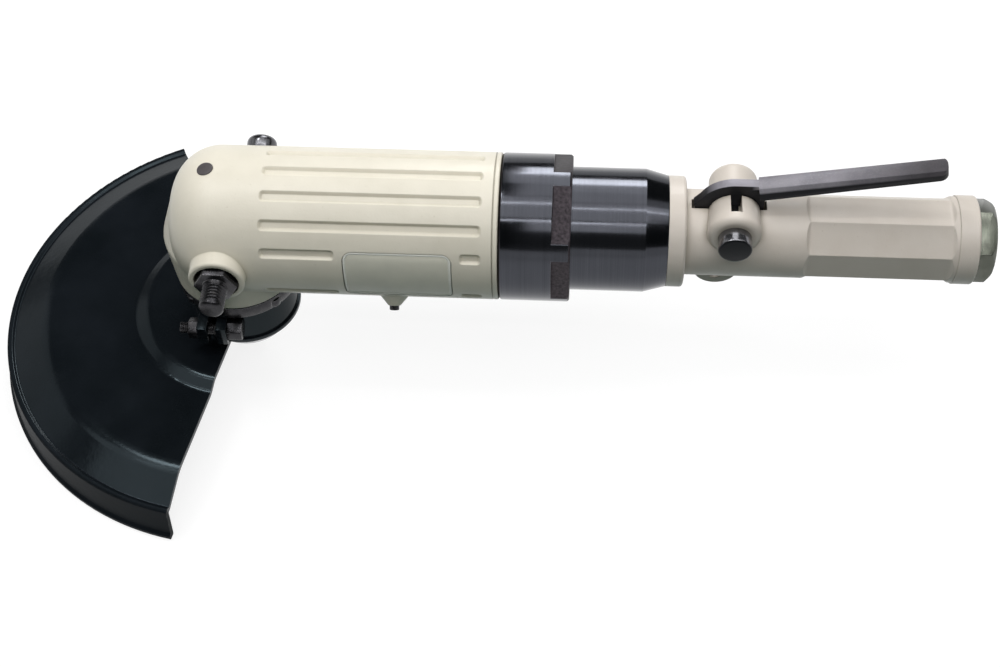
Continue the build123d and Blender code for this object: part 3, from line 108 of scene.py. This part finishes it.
class Tree:
    """A short way to write a material's node tree."""

    def __init__(self, name):
        self.material = bpy.data.materials.new(name)
        self.material.use_nodes = True
        self.nodes = self.material.node_tree.nodes
        self.links = self.material.node_tree.links
        self.shader = self.nodes["Principled BSDF"]
        spot = self.add("ShaderNodeTexCoord")
        self.coords = spot.outputs["Object"]
        self.facing = spot.outputs["Normal"]

    def add(self, kind, **settings):
        node = self.nodes.new(kind)
        for key, value in settings.items():
            setattr(node, key, value)
        return node

    def put(self, socket, value):
        if isinstance(value, bpy.types.NodeSocket):
            self.links.new(value, socket)
        else:
            socket.default_value = value

    def math(self, operation, a, b=0.0, clamp=False):
        node = self.add("ShaderNodeMath", operation=operation, use_clamp=clamp)
        self.put(node.inputs[0], a)
        self.put(node.inputs[1], b)
        return node.outputs[0]

    def stretch(self, scale):
        """Position with a scale for each axis, for grain that runs one way."""
        node = self.add("ShaderNodeMapping")
        self.put(node.inputs["Vector"], self.coords)
        self.put(node.inputs["Scale"], scale)
        return node.outputs[0]

    def noise(self, size, detail, vector=None):
        """Cloudy noise whose features are about size metres across."""
        node = self.add("ShaderNodeTexNoise")
        self.put(node.inputs["Vector"], vector or self.coords)
        self.put(node.inputs["Scale"], 1.0 / size)
        self.put(node.inputs["Detail"], detail)
        self.put(node.inputs["Roughness"], NOISE_ROUGHNESS)
        return node.outputs["Fac"]

    def ramp(self, value, *stops):
        """Levels or colours at places along 0 to 1."""
        node = self.add("ShaderNodeValToRGB")
        elements = node.color_ramp.elements
        while len(elements) < len(stops):
            elements.new(0.5)
        for element, (place, colour) in zip(elements, stops):
            if isinstance(colour, (int, float)):
                colour = grey(colour)
            element.position = place
            element.color = (*colour, 1)
        self.put(node.inputs["Fac"], value)
        return node.outputs["Color"]

    def between(self, value, first, second):
        """The first level or colour where noise is low, turning to the second where it is high."""
        return self.ramp(value, (NOISE_LOW, first), (NOISE_HIGH, second))

    def mix(self, share, a, b, blend="MIX"):
        node = self.add("ShaderNodeMix", data_type="RGBA", blend_type=blend)
        self.put(node.inputs[0], share)
        for socket, value in ((node.inputs[6], a), (node.inputs[7], b)):
            self.put(socket, (*value, 1) if isinstance(value, tuple) else value)
        return node.outputs[2]

    def hollows(self, reach):
        """1 on open faces, less in corners and grooves within reach."""
        node = self.add("ShaderNodeAmbientOcclusion", samples=8)
        self.put(node.inputs["Distance"], reach)
        return node.outputs["AO"]

    def rounded(self, reach, samples=6):
        """A normal that turns softly over edges and inner corners."""
        node = self.add("ShaderNodeBevel", samples=samples)
        self.put(node.inputs["Radius"], reach)
        return node.outputs["Normal"]

    def edges(self, reach):
        """0 on open faces, rising to 1 on sharp outer and inner edges within reach."""
        turn = self.add("ShaderNodeVectorMath", operation="DOT_PRODUCT")
        self.put(turn.inputs[0], self.rounded(reach, samples=4))
        self.put(turn.inputs[1], self.add("ShaderNodeNewGeometry").outputs["Normal"])
        return self.math("SUBTRACT", 1.0, turn.outputs["Value"], clamp=True)

    def rub_edges(self, tone, reach, start, share, bright):
        """A tone that goes bright on edges, from where they start to turn, up to a share."""
        worn = self.ramp(self.edges(reach), (start, 0.0), (EDGE_FULL, share))
        return self.mix(worn, tone, bright)

    def place(self):
        """The three coordinates of a point of the piece, in metres."""
        node = self.add("ShaderNodeSeparateXYZ")
        self.put(node.inputs[0], self.coords)
        return node.outputs[0], node.outputs[1], node.outputs[2]

    def upward(self):
        """1 on a face that looks straight up, 0 on an upright one."""
        node = self.add("ShaderNodeSeparateXYZ")
        self.put(node.inputs[0], self.facing)
        return node.outputs[2]

    def distance(self, a, b):
        """How far a point is from an axis, from its two coordinates across it."""
        square = self.math("ADD", self.math("POWER", a, 2.0), self.math("POWER", b, 2.0))
        return self.math("SQRT", square)

    def from_body_axis(self):
        """How far a point is from the long axis of the body."""
        _, across, rise = self.place()
        return self.distance(across, self.math("SUBTRACT", rise, AXIS_Z))

    def below(self, value, limit, blur):
        """1 well below the limit and 0 well above it."""
        node = self.add("ShaderNodeMapRange", clamp=True)
        self.put(node.inputs["Value"], value)
        self.put(node.inputs["From Min"], limit - blur)
        self.put(node.inputs["From Max"], limit + blur)
        self.put(node.inputs["To Min"], 1.0)
        self.put(node.inputs["To Max"], 0.0)
        return node.outputs["Result"]

    def bump(self, height, depth, strength, under=None):
        node = self.add("ShaderNodeBump")
        self.put(node.inputs["Height"], height)
        self.put(node.inputs["Distance"], depth)
        self.put(node.inputs["Strength"], strength)
        if under is not None:
            self.put(node.inputs["Normal"], under)
        return node.outputs["Normal"]

    def set(self, **sockets):
        for name, value in sockets.items():
            socket = self.shader.inputs[name.replace("_", " ")]
            self.put(socket, (*value, 1) if isinstance(value, tuple) else value)
        return self.material


def cream_paint(name, dark, light):
    """Semi-gloss cream enamel on a casting: soft ripple, faint mottling, and painted shade that darkens the
    grooves and hollows.
    """
    deep_painted_shade = (0.20, 0.20, 0.18)
    thin_painted_shade = (0.66, 0.65, 0.60)
    speck_tone = (0.72, 0.69, 0.62)
    speck_share = 0.35
    tree = Tree(name)
    tone = tree.between(tree.noise(size=0.014, detail=3), dark, light)
    # painted shade: the paint is darkened wherever ambient occlusion finds a hollow or groove
    painted_shade = tree.ramp(tree.hollows(reach=0.004), (0.20, deep_painted_shade), (0.45, thin_painted_shade), (0.85, CLEAN))
    speck = tree.ramp(tree.noise(size=0.0011, detail=2), (0.24, speck_tone), (0.31, CLEAN))
    tone = tree.mix(1.0, tone, painted_shade, "MULTIPLY")
    tone = tree.mix(speck_share, tone, speck, "MULTIPLY")
    soft_edge = tree.rounded(reach=0.0006)
    ripple = tree.bump(tree.noise(size=0.007, detail=1), depth=0.0003, strength=0.4, under=soft_edge)
    skin = tree.bump(tree.noise(size=0.0009, detail=2), depth=0.00006, strength=0.6, under=ripple)
    rough = tree.between(tree.noise(size=0.020, detail=4), 0.30, 0.42)
    return tree.set(Base_Color=tone, Roughness=rough, Normal=skin, Specular_IOR_Level=0.35)


def guard_black():
    """Black enamel on pressed sheet: orange peel, a little dust, bright wear on edges, a duller skirt."""
    dark = (0.004, 0.0055, 0.007)
    light = (0.008, 0.010, 0.013)
    dust_tone = (0.08, 0.08, 0.085)
    dust_share = 0.06
    bare_tone = (0.16, 0.16, 0.17)
    skirt_gloss = 0.06
    sheet_gloss = 0.22
    tree = Tree("guard_black")
    tone = tree.ramp(tree.noise(size=0.03, detail=3), (0.3, dark), (0.75, light))
    dust = tree.ramp(tree.noise(size=0.0016, detail=3), (0.70, 0.0), (0.78, 1.0))
    tone = tree.mix(tree.math("MULTIPLY", dust, dust_share), tone, dust_tone)
    worn = tree.ramp(tree.edges(reach=0.0007), (0.10, 0.0), (0.35, 1.0))
    patches = tree.ramp(tree.noise(size=0.004, detail=4), (0.45, 0.0), (0.65, 0.55))
    tone = tree.mix(tree.math("MULTIPLY", worn, patches), tone, bare_tone)
    along, across, _ = tree.place()
    sheet = tree.below(tree.distance(along, across), limit=SKIRT_INSIDE, blur=0.0004)
    rough = tree.between(tree.noise(size=0.018, detail=5), 0.13, 0.22)
    rough = tree.mix(sheet, grey(0.5), rough)
    gloss = tree.math("ADD", tree.math("MULTIPLY", sheet, sheet_gloss - skirt_gloss), skirt_gloss)
    peel = tree.bump(tree.noise(size=0.0022, detail=1), depth=0.00008, strength=0.3)
    wave = tree.bump(tree.noise(size=0.05, detail=1), depth=0.0010, strength=0.3, under=peel)
    # painted reflection colour: the specular tint gives every reflection on the sheet a bluish cast
    tree.set(Specular_IOR_Level=gloss, Specular_Tint=(0.70, 0.90, 1.0))
    return tree.set(Base_Color=tone, Roughness=rough, Normal=wave)


def turned_steel(name, round_radius=None):
    """Blued steel: fine tool marks round the body axis, faint stains and rubbed edges.

    Within round_radius, where it is given, lie flats that are rough-ground and dull.
    """
    dark = (0.050, 0.053, 0.062)
    light = (0.080, 0.083, 0.096)
    stain_dimming = 0.6
    stain_tone = tuple(stain_dimming * level for level in dark)
    stain_share = 0.4
    rough_from_marks = 0.3
    rough_from_stain = 0.7
    flat_depth = 0.00012
    flat_dark = (0.020, 0.0175, 0.020)
    flat_light = (0.050, 0.043, 0.048)
    tree = Tree(name)
    marks = tree.noise(size=0.00030, detail=2, vector=tree.stretch((1.0, 0.004, 0.004)))
    stain = tree.noise(size=0.016, detail=4)
    tone = tree.ramp(marks, (0.2, dark), (0.8, light))
    tone = tree.mix(tree.math("MULTIPLY", stain, stain_share), tone, stain_tone)
    tone = tree.rub_edges(tone, reach=0.0006, start=0.08, share=0.7, bright=(0.26, 0.25, 0.27))
    by_marks = tree.math("MULTIPLY", marks, rough_from_marks)
    by_stain = tree.math("MULTIPLY", stain, rough_from_stain)
    rough = tree.between(tree.math("ADD", by_marks, by_stain), 0.11, 0.19)
    cut = tree.bump(marks, depth=0.00002, strength=0.2)
    if round_radius:
        flat = tree.below(tree.from_body_axis(), limit=round_radius - flat_depth, blur=0.00005)
        grit = tree.noise(size=0.0012, detail=5)
        tone = tree.mix(flat, tone, tree.between(grit, flat_dark, flat_light))
        rough = tree.mix(flat, rough, grey(0.42))
        cut = tree.bump(tree.math("MULTIPLY", grit, flat), depth=0.00015, strength=0.6, under=cut)
    return tree.set(Base_Color=tone, Metallic=1.0, Roughness=rough, Normal=cut)


def oxide_steel():
    """Black oxide on small steel pieces: dull, a little brown, shiny where it rubs."""
    dark = (0.026, 0.026, 0.029)
    middle = (0.044, 0.043, 0.046)
    brown = (0.068, 0.063, 0.062)
    tree = Tree("black_oxide")
    tone = tree.ramp(tree.noise(size=0.004, detail=5), (0.3, dark), (0.6, middle), (0.8, brown))
    tone = tree.rub_edges(tone, reach=0.0004, start=0.06, share=0.8, bright=(0.38, 0.37, 0.38))
    rough = tree.between(tree.noise(size=0.0025, detail=4), 0.20, 0.34)
    grain = tree.bump(tree.noise(size=0.0005, detail=3), depth=0.00004, strength=0.4)
    return tree.set(Base_Color=tone, Metallic=0.9, Roughness=rough, Normal=grain)


def rubbed_oxide(name, dark, light, end):
    """Black oxide polished round a head, with painted shade on the face that lies beyond end along -Y:
    near-black there, and rougher.
    """
    face_painted_shade = (0.008, 0.009, 0.010)
    tree = Tree(name)
    tone = tree.between(tree.noise(size=0.003, detail=4), dark, light)
    _, across, _ = tree.place()
    face = tree.below(across, limit=end, blur=0.0002)
    # painted shade: the face beyond end is painted near-black
    tone = tree.mix(face, tone, face_painted_shade)
    rough = tree.between(tree.noise(size=0.0025, detail=4), 0.16, 0.26)
    rough = tree.mix(face, rough, grey(0.34))
    lines = tree.noise(size=0.0005, detail=2, vector=tree.stretch((0.1, 1.0, 0.1)))
    skin = tree.bump(lines, depth=0.00002, strength=0.3)
    return tree.set(Base_Color=tone, Metallic=0.95, Roughness=rough, Normal=skin)


def lever_steel():
    """Grey phosphate on a cast lever: fine grain and rubbed edges, with painted shade: darker towards the
    tip, near-black on the paddle's sides, and on the hub lighter on top and near-black on its sides.
    """
    dark = (0.165, 0.159, 0.180)
    light = (0.255, 0.245, 0.270)
    fleck_tone = (0.32, 0.31, 0.33)
    fleck_share = 0.35
    painted_tip_shade = (0.28, 0.27, 0.27)
    painted_side_shade = (0.012, 0.012, 0.014)
    painted_hub_light = (0.26, 0.25, 0.28)
    painted_hub_shade = (0.018, 0.018, 0.021)
    tree = Tree("lever_steel")
    grain = tree.noise(size=0.0008, detail=4)
    cloud = tree.noise(size=0.010, detail=4)
    tone = tree.between(cloud, dark, light)
    fleck = tree.ramp(grain, (0.52, 0.0), (0.72, 1.0))
    tone = tree.mix(tree.math("MULTIPLY", fleck, fleck_share), tone, fleck_tone)
    tone = tree.rub_edges(tone, reach=0.0009, start=0.05, share=0.6, bright=(0.36, 0.35, 0.37))
    along, _, rise = tree.place()
    # painted shade: the lever's tone darkens towards its tip
    before_tip = tree.below(along, limit=TIP_X, blur=0.022)
    tone = tree.mix(1.0, tone, tree.ramp(before_tip, (0.0, painted_tip_shade), (1.0, CLEAN)), "MULTIPLY")
    # painted shade: below the paddle's top face, its sides are painted near-black
    fall = tree.math("MULTIPLY", tree.math("SUBTRACT", along, PADDLE_X), sin(PADDLE_SLOPE))
    lift = tree.math("MULTIPLY", tree.math("SUBTRACT", rise, PADDLE_Z), cos(PADDLE_SLOPE))
    top = tree.below(tree.math("SUBTRACT", fall, lift), limit=PADDLE_DEPTH, blur=0.0003)
    tone = tree.mix(top, painted_side_shade, tone)
    # painted light and shade on the hub: lighter where it faces up, near-black on its sides
    sides = tree.below(tree.upward(), limit=0.75, blur=0.12)
    hub = tree.below(along, limit=HUB_END, blur=0.0012)
    tone = tree.mix(hub, tone, tree.mix(sides, painted_hub_light, painted_hub_shade))
    rough = tree.between(cloud, 0.40, 0.55)
    skin = tree.bump(grain, depth=0.00014, strength=0.7)
    return tree.set(Base_Color=tone, Metallic=0.35, Roughness=rough, Normal=skin, Specular_IOR_Level=0.22)


def plain_steel(name, dark, light, low, high):
    """Ground or machined metal, with a roughness from low to high along fine lines."""
    tree = Tree(name)
    tone = tree.between(tree.noise(size=0.006, detail=5), dark, light)
    lines = tree.noise(size=0.0007, detail=3, vector=tree.stretch((1.0, 0.05, 0.05)))
    rough = tree.between(lines, low, high)
    skin = tree.bump(lines, depth=0.00004, strength=0.4)
    return tree.set(Base_Color=tone, Metallic=1.0, Roughness=rough, Normal=skin)


def moulded(name, dark, light, rough):
    """Moulded rubber or laminate with a faint mottle."""
    tree = Tree(name)
    tone = tree.between(tree.noise(size=0.003, detail=4), dark, light)
    skin = tree.bump(tree.noise(size=0.0006, detail=2), depth=0.00005, strength=0.5)
    return tree.set(Base_Color=tone, Roughness=rough, Normal=skin)


def plate_finish():
    """A blank plate, painted near the casting's cream with a satin grain, with a painted highlight: lighter
    edges and a lighter bead round it.
    """
    dark = (0.62, 0.61, 0.52)
    light = (0.68, 0.665, 0.565)
    bead_painted_highlight = (0.86, 0.86, 0.80)
    bead_start = PLATE_FACE + 0.00010
    tree = Tree("nameplate")
    lines = tree.noise(size=0.0009, detail=3, vector=tree.stretch((0.04, 1.0, 1.0)))
    tone = tree.between(tree.noise(size=0.012, detail=3), dark, light)
    # painted highlight: the plate's edges are painted lighter
    tone = tree.rub_edges(tone, reach=0.0005, start=0.05, share=0.7, bright=(0.80, 0.80, 0.76))
    face = tree.below(tree.from_body_axis(), limit=bead_start, blur=0.00005)
    # painted highlight: the bead round the plate is painted lighter
    tone = tree.mix(face, bead_painted_highlight, tone)
    rough = tree.between(lines, 0.34, 0.46)
    skin = tree.bump(lines, depth=0.00002, strength=0.5)
    return tree.set(Base_Color=tone, Roughness=rough, Normal=skin)


# Materials: one for each slot of the record, and one for each node that differs from its slot
finishes = {
    "cream_paint": cream_paint("cream_paint", (0.720, 0.678, 0.572), (0.765, 0.722, 0.615)),
    "nameplate": plate_finish(),
    "blued_steel": turned_steel("blued_steel"),
    "guard_black": guard_black(),
    "black_oxide": oxide_steel(),
    "lever_steel": lever_steel(),
    "zinc_steel": plain_steel("zinc_steel", (0.072, 0.078, 0.064), (0.102, 0.106, 0.090), 0.14, 0.22),
    "bare_steel": plain_steel("bare_steel", (0.45, 0.45, 0.46), (0.62, 0.62, 0.63), 0.18, 0.34),
    "cast_iron": plain_steel("cast_iron", (0.16, 0.16, 0.165), (0.24, 0.24, 0.245), 0.42, 0.60),
    "brass": plain_steel("brass", (0.60, 0.44, 0.18), (0.74, 0.56, 0.26), 0.22, 0.36),
    "vane": moulded("vane", (0.16, 0.09, 0.045), (0.24, 0.14, 0.07), 0.55),
    "seal": moulded("seal", grey(0.012), grey(0.022), 0.60),
}
own_finishes = {
    # The handle's cream is darker and pinker than the barrel's: partly its own tone, partly painted shade for
    # the weaker light on the handle.
    "throttle_handle": cream_paint("handle_paint_and_shade", (0.610, 0.552, 0.490), (0.650, 0.595, 0.535)),
    "clamp_nut": turned_steel("blued_nut", NUT_RADIUS),
    "throttle_pin": rubbed_oxide("rubbed_pin", (0.17, 0.17, 0.18), (0.27, 0.27, 0.29), PIN_FACE),
    "grease_plug": rubbed_oxide("rubbed_plug", (0.10, 0.10, 0.11), (0.16, 0.16, 0.17), NO_FACE),
    "head_plug": moulded("dull_plug", (0.050, 0.043, 0.045), (0.075, 0.066, 0.068), 0.50),
}
for name, node in nodes.items():
    node.data.materials.clear()
    node.data.materials.append(own_finishes.get(name, finishes[slot_of[name]]))

# Pieces: each is a copy of its CAD node with the edges and threads that machining or casting leaves
WELD = 1e-6
FLAT_ANGLE = 0.6
BEVEL_ANGLE = 32.0
SHARP_ANGLE = 35.0
ON_WALL = 0.00003
THREAD_SIDES = 60
THREAD_ROWS = 9
THREAD_FLAT = 0.12
CORNER_STEPS = 10
BEAD_STEP = 0.001
BEAD_POINTS = 7
BEAD_SINK = 0.00005


def shade_smooth(mesh, sharp):
    """Smooth shading, broken where faces meet at more than the sharp angle."""
    if "custom_normal" in mesh.attributes:
        mesh.attributes.remove(mesh.attributes["custom_normal"])
    mesh.shade_smooth()
    mesh.set_sharp_from_angle(angle=radians(sharp))


def soften(name, width, segments=2, angle=BEVEL_ANGLE, sharp=SHARP_ANGLE, bend=None):
    """Stand a copy of a CAD node in its place, with its edges rounded over.

    bend, when given, leaves the piece out of every body, with its place baked into its mesh; the bodies and
    places it names are not used.
    """
    piece = bpy.data.objects.new("soft_" + name, nodes[name].data.copy())
    scene.collection.objects.link(piece)
    work = bmesh.new()
    work.from_mesh(piece.data)
    bmesh.ops.remove_doubles(work, verts=work.verts, dist=WELD)
    bmesh.ops.dissolve_limit(work, angle_limit=radians(FLAT_ANGLE), verts=work.verts, edges=work.edges)
    work.to_mesh(piece.data)
    work.free()
    bevel = piece.modifiers.new("edges", "BEVEL")
    bevel.width = width
    bevel.segments = segments
    bevel.limit_method = "ANGLE"
    bevel.angle_limit = radians(angle)
    shaped = piece.evaluated_get(bpy.context.evaluated_depsgraph_get())
    piece.data = bpy.data.meshes.new_from_object(shaped)
    piece.modifiers.clear()
    shade_smooth(piece.data, sharp)
    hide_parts(name)
    if bend:
        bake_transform(piece)
    else:
        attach(piece, carrier_of[name])
    return piece


def join_rings(work, rings, flip=False):
    """Smooth faces between each ring of points and the next one, all the way round."""
    for here, ahead in zip(rings, rings[1:]):
        for step in range(len(here)):
            beside = (step + 1) % len(here)
            loop = [here[step], here[beside], ahead[beside], ahead[step]]
            face = work.faces.new(loop[::-1] if flip else loop)
            face.smooth = True


def cut_thread(piece, origin, axis, radius, start, end, pitch, depth, inside=False):
    """Swap a plain round wall of a piece for a threaded one, between two places along the axis."""
    origin = Vector(origin)
    axis = Vector(axis)
    side = axis.orthogonal().normalized()
    other = axis.cross(side)
    inward = 1 if inside else -1
    work = bmesh.new()
    work.from_mesh(piece.data)
    wall = []
    for face in work.faces:
        along = (face.calc_center_median() - origin).dot(axis)
        spots = [corner.co - origin for corner in face.verts]
        reach = [(spot - axis * spot.dot(axis)).length for spot in spots]
        if start < along < end and all(abs(r - radius) < ON_WALL for r in reach):
            wall.append(face)
    bmesh.ops.delete(work, geom=wall, context="FACES")
    rows = round((end - start) / pitch * THREAD_ROWS)
    rings = []
    for row in range(rows + 1):
        along = start + (end - start) * row / rows
        fade = min(1.0, (along - start) / pitch, (end - along) / pitch)
        ring = []
        for step in range(THREAD_SIDES):
            phase = (along / pitch - step / THREAD_SIDES) % 1.0
            flank = (1.0 - abs(2.0 * phase - 1.0) - THREAD_FLAT) / (1.0 - 2.0 * THREAD_FLAT)
            valley = min(1.0, max(0.0, flank))
            turn = tau * step / THREAD_SIDES
            outward = side * cos(turn) + other * sin(turn)
            reach = radius + inward * depth * valley * fade
            ring.append(work.verts.new(origin + axis * along + outward * reach))
        rings.append(ring)
    join_rings(work, rings, flip=inside)
    work.to_mesh(piece.data)
    work.free()


def raise_bead(piece, width, height, overhang):
    """Raise a rounded bead along the nameplate's outline, on the barrel's curve."""
    spots = [(v.co.x, PLATE_FACE * atan2(v.co.z - AXIS_Z, -v.co.y)) for v in piece.data.vertices]
    corner = PLATE_CORNER - (width / 2 - overhang)
    left = min(x for x, _ in spots) + PLATE_CORNER
    right = max(x for x, _ in spots) - PLATE_CORNER
    low = min(s for _, s in spots) + PLATE_CORNER
    high = max(s for _, s in spots) - PLATE_CORNER
    track = []
    for quarter, (x, s) in enumerate(((right, high), (left, high), (left, low), (right, low))):
        for step in range(CORNER_STEPS + 1):
            turn = (quarter + step / CORNER_STEPS) * pi / 2
            track.append((x + corner * cos(turn), s + corner * sin(turn), cos(turn), sin(turn)))
    fine = []
    for first, last in zip(track, track[1:] + track[:1]):
        pieces = max(1, round(hypot(last[0] - first[0], last[1] - first[1]) / BEAD_STEP))
        for step in range(pieces):
            fine.append([a + (b - a) * step / pieces for a, b in zip(first, last)])
    work = bmesh.new()
    work.from_mesh(piece.data)
    rings = []
    for x, s, along, around in fine:
        ring = []
        for step in range(BEAD_POINTS):
            across = width * (step / (BEAD_POINTS - 1) - 0.5)
            reach = PLATE_FACE + height * cos(pi * across / width) - BEAD_SINK
            turn = (s + around * across) / PLATE_FACE
            ring.append(work.verts.new((x + along * across, -reach * cos(turn), AXIS_Z + reach * sin(turn))))
        rings.append(ring)
    join_rings(work, rings + rings[:1])
    bmesh.ops.recalc_face_normals(work, faces=work.faces)
    work.to_mesh(piece.data)
    work.free()


soften("clamp_nut", width=0.0004, sharp=15.0)
soften("exhaust_sleeve", width=0.0003, angle=15.0, sharp=15.0)
for name in ("throttle_pin", "grease_plug", "guard_clamp_nut", "head_plug", "lock_screw", "neck_screws"):
    soften(name, width=0.00035)
plate = soften("nameplate", width=0.00025)
raise_bead(plate, width=0.0011, height=0.00032, overhang=0.0003)
soften("throttle_lever", width=0.0006, segments=3)
soften("guard_collar", width=0.0004)
soften("spindle_neck", width=0.0004)
soften("inner_flange", width=0.0003)

# The valve's spring: a softened copy with its place baked in, carried by no body; its back and front places
# are passed along but not used
spring_low, spring_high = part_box("valve_spring")
spring_back = (spring_high[0], 0, AXIS_Z)
spring_front = (spring_low[0], 0, AXIS_Z)
soften("valve_spring", width=0.0001, angle=60.0, bend=("housing", "valve", spring_back, spring_front))

# Threads: M10 on the stud, M14 on the spindle, M5 on the clamp bolt and a pipe thread in the inlet
stud = soften("side_handle_stud", width=0.0005)
cut_thread(stud, origin=(0, 0, AXIS_Z), axis=(0, -1, 0), radius=0.005,
           start=0.0369, end=0.0470, pitch=0.0015, depth=0.0008)
spindle = soften("output_spindle", width=0.0003)
cut_thread(spindle, origin=(0, 0, 0), axis=(0, 0, -1), radius=0.007,
           start=0.0043, end=0.0120, pitch=0.0020, depth=0.0011)
bolt = soften("guard_clamp_bolt", width=0.0005)
cut_thread(bolt, origin=(0, CLAMP_Y, CLAMP_Z), axis=(-1, 0, 0), radius=0.0025,
           start=0.0030, end=0.0222, pitch=0.0008, depth=0.0004)
bush = soften("inlet_bush", width=0.0004)
cut_thread(bush, origin=(0, 0, AXIS_Z), axis=(1, 0, 0), radius=0.0093,
           start=0.2920, end=0.3087, pitch=0.001814, depth=0.0010, inside=True)

# Camera: the photograph's own view, worked out from the body's lines
LENS = 61.2
SENSOR_WIDTH = 36.0
TARGET = Vector((0.1149, -0.0547, AXIS_Z))
DISTANCE = 0.6618
ELEVATION = radians(53.30)
AZIMUTH = radians(4.73)
ROLL = radians(-1.91)
back = Vector((sin(AZIMUTH) * cos(ELEVATION), -cos(AZIMUTH) * cos(ELEVATION), sin(ELEVATION)))
right = Vector((cos(AZIMUTH), sin(AZIMUTH), 0))
up = back.cross(right)
camera_data = bpy.data.cameras.new("camera")
camera_data.lens = LENS
camera_data.sensor_width = SENSOR_WIDTH
camera = bpy.data.objects.new("camera", camera_data)
rolled_right = right * cos(ROLL) + up * sin(ROLL)
rolled_up = up * cos(ROLL) - right * sin(ROLL)
turned = Matrix((rolled_right, rolled_up, back)).transposed()
camera.matrix_world = Matrix.Translation(TARGET + back * DISTANCE) @ turned.to_4x4()
scene.collection.objects.link(camera)
scene.camera = camera

# Floor: a pale disc that turns up into a cove far away on all sides
FLOOR_GAP = 0.0005
FLOOR_Z = cad_box[0][2] - FLOOR_GAP
FLOOR_REACH = 16.0
FLOOR_SIDES = 64
COVE_RADIUS = 4.4
COVE_STEPS = 10
BENCH_COLOUR = (0.050, 0.096, 0.077, 1)
PAPER_COLOUR = (0.24, 0.24, 0.24, 1)
PAPER_GLOW = 0.82


def floor_mesh():
    """The disc and its cove."""
    work = bmesh.new()
    turns = [tau * side / FLOOR_SIDES for side in range(FLOOR_SIDES)]
    rims = []
    for step in range(COVE_STEPS + 1):
        lean = pi / 2 * step / COVE_STEPS
        reach = FLOOR_REACH + COVE_RADIUS * sin(lean)
        rise = FLOOR_Z + COVE_RADIUS * (1 - cos(lean))
        rims.append([work.verts.new((reach * cos(turn), reach * sin(turn), rise)) for turn in turns])
    work.faces.new(rims[0])
    join_rings(work, rims, flip=True)
    mesh = bpy.data.meshes.new("floor")
    work.to_mesh(mesh)
    work.free()
    return mesh


def floor_finish():
    """Pale paper for the camera and for mirrors, and a green bench for the light that bounces up."""
    tree = Tree("floor")
    tree.nodes.remove(tree.shader)
    paths = tree.add("ShaderNodeLightPath")
    seen = tree.math("MAXIMUM", paths.outputs["Is Camera Ray"], paths.outputs["Is Glossy Ray"])
    seen = tree.math("MAXIMUM", seen, paths.outputs["Is Transmission Ray"])
    bench = tree.add("ShaderNodeBsdfDiffuse")
    tree.put(bench.inputs["Color"], BENCH_COLOUR)
    paper = tree.add("ShaderNodeBsdfDiffuse")
    tree.put(paper.inputs["Color"], PAPER_COLOUR)
    glow = tree.add("ShaderNodeEmission")
    tree.put(glow.inputs["Strength"], PAPER_GLOW)
    lit = tree.add("ShaderNodeAddShader")
    tree.put(lit.inputs[0], paper.outputs[0])
    tree.put(lit.inputs[1], glow.outputs[0])
    chosen = tree.add("ShaderNodeMixShader")
    tree.put(chosen.inputs[0], seen)
    tree.put(chosen.inputs[1], bench.outputs[0])
    tree.put(chosen.inputs[2], lit.outputs[0])
    tree.put(tree.nodes["Material Output"].inputs["Surface"], chosen.outputs[0])
    return tree.material


floor = bpy.data.objects.new("floor", floor_mesh())
scene.collection.objects.link(floor)
floor.data.materials.append(floor_finish())


# Light: soft boxes and a faint world
def soft_box(name, place, aim, width, length, power):
    """A rectangular lamp that looks at a point."""
    lamp = bpy.data.lights.new(name, "AREA")
    lamp.shape = "RECTANGLE"
    lamp.size = width
    lamp.size_y = length
    lamp.energy = power
    holder = bpy.data.objects.new(name, lamp)
    holder.location = place
    holder.rotation_euler = (Vector(aim) - Vector(place)).to_track_quat("-Z", "Y").to_euler()
    scene.collection.objects.link(holder)


CENTRE = (0.12, 0.0, AXIS_Z)
STEEL = (0.145, 0.0, AXIS_Z)
soft_box("ceiling_front", (-0.05, -0.22, 1.26), (-0.05, -0.22, 0), width=2.1, length=0.74, power=8.3)
soft_box("ceiling_back", (0.17, 0.43, 1.26), (0.17, 0.43, 0), width=0.55, length=0.52, power=1.6)
soft_box("back_panel", (0.17, 0.784, 0.904), CENTRE, width=0.55, length=0.53, power=2.0)
soft_box("back_strip", (0.17, 0.855, 0.635), STEEL, width=0.34, length=0.28, power=3.0)
soft_box("right_wing", (1.05, 0.25, 1.10), CENTRE, width=0.60, length=0.90, power=1.2)
soft_box("left_panel", (-1.05, 0.36, 0.64), (-0.09, 0, 0), width=0.80, length=0.60, power=1.0)
soft_box("front_panel", (0.16, -0.708, 0.969), STEEL, width=0.40, length=0.34, power=0.75)
soft_box("front_fill", (0.15, -1.05, 0.55), CENTRE, width=0.50, length=0.95, power=0.10)
soft_box("line_above", (0.12, -0.07, 1.18), CENTRE, width=1.5, length=0.03, power=1.6)
soft_box("line_front", (0.12, -0.64, 1.14), CENTRE, width=1.4, length=0.03, power=1.6)
soft_box("glint_left", (-0.38, 0.20, 1.20), (-0.38, 0.20, 0), width=0.30, length=0.16, power=2.4)
soft_box("glint_right", (0.58, -0.41, 1.20), (0.58, -0.41, 0), width=0.30, length=0.30, power=1.0)

WORLD_COLOUR = (0.85, 0.95, 0.95, 1)
WORLD_STRENGTH = 0.045
world = bpy.data.worlds.new("studio")
world.use_nodes = True
scene.world = world
background = world.node_tree.nodes["Background"]
background.inputs["Color"].default_value = WORLD_COLOUR
background.inputs["Strength"].default_value = WORLD_STRENGTH
scene.view_settings.view_transform = "Standard"
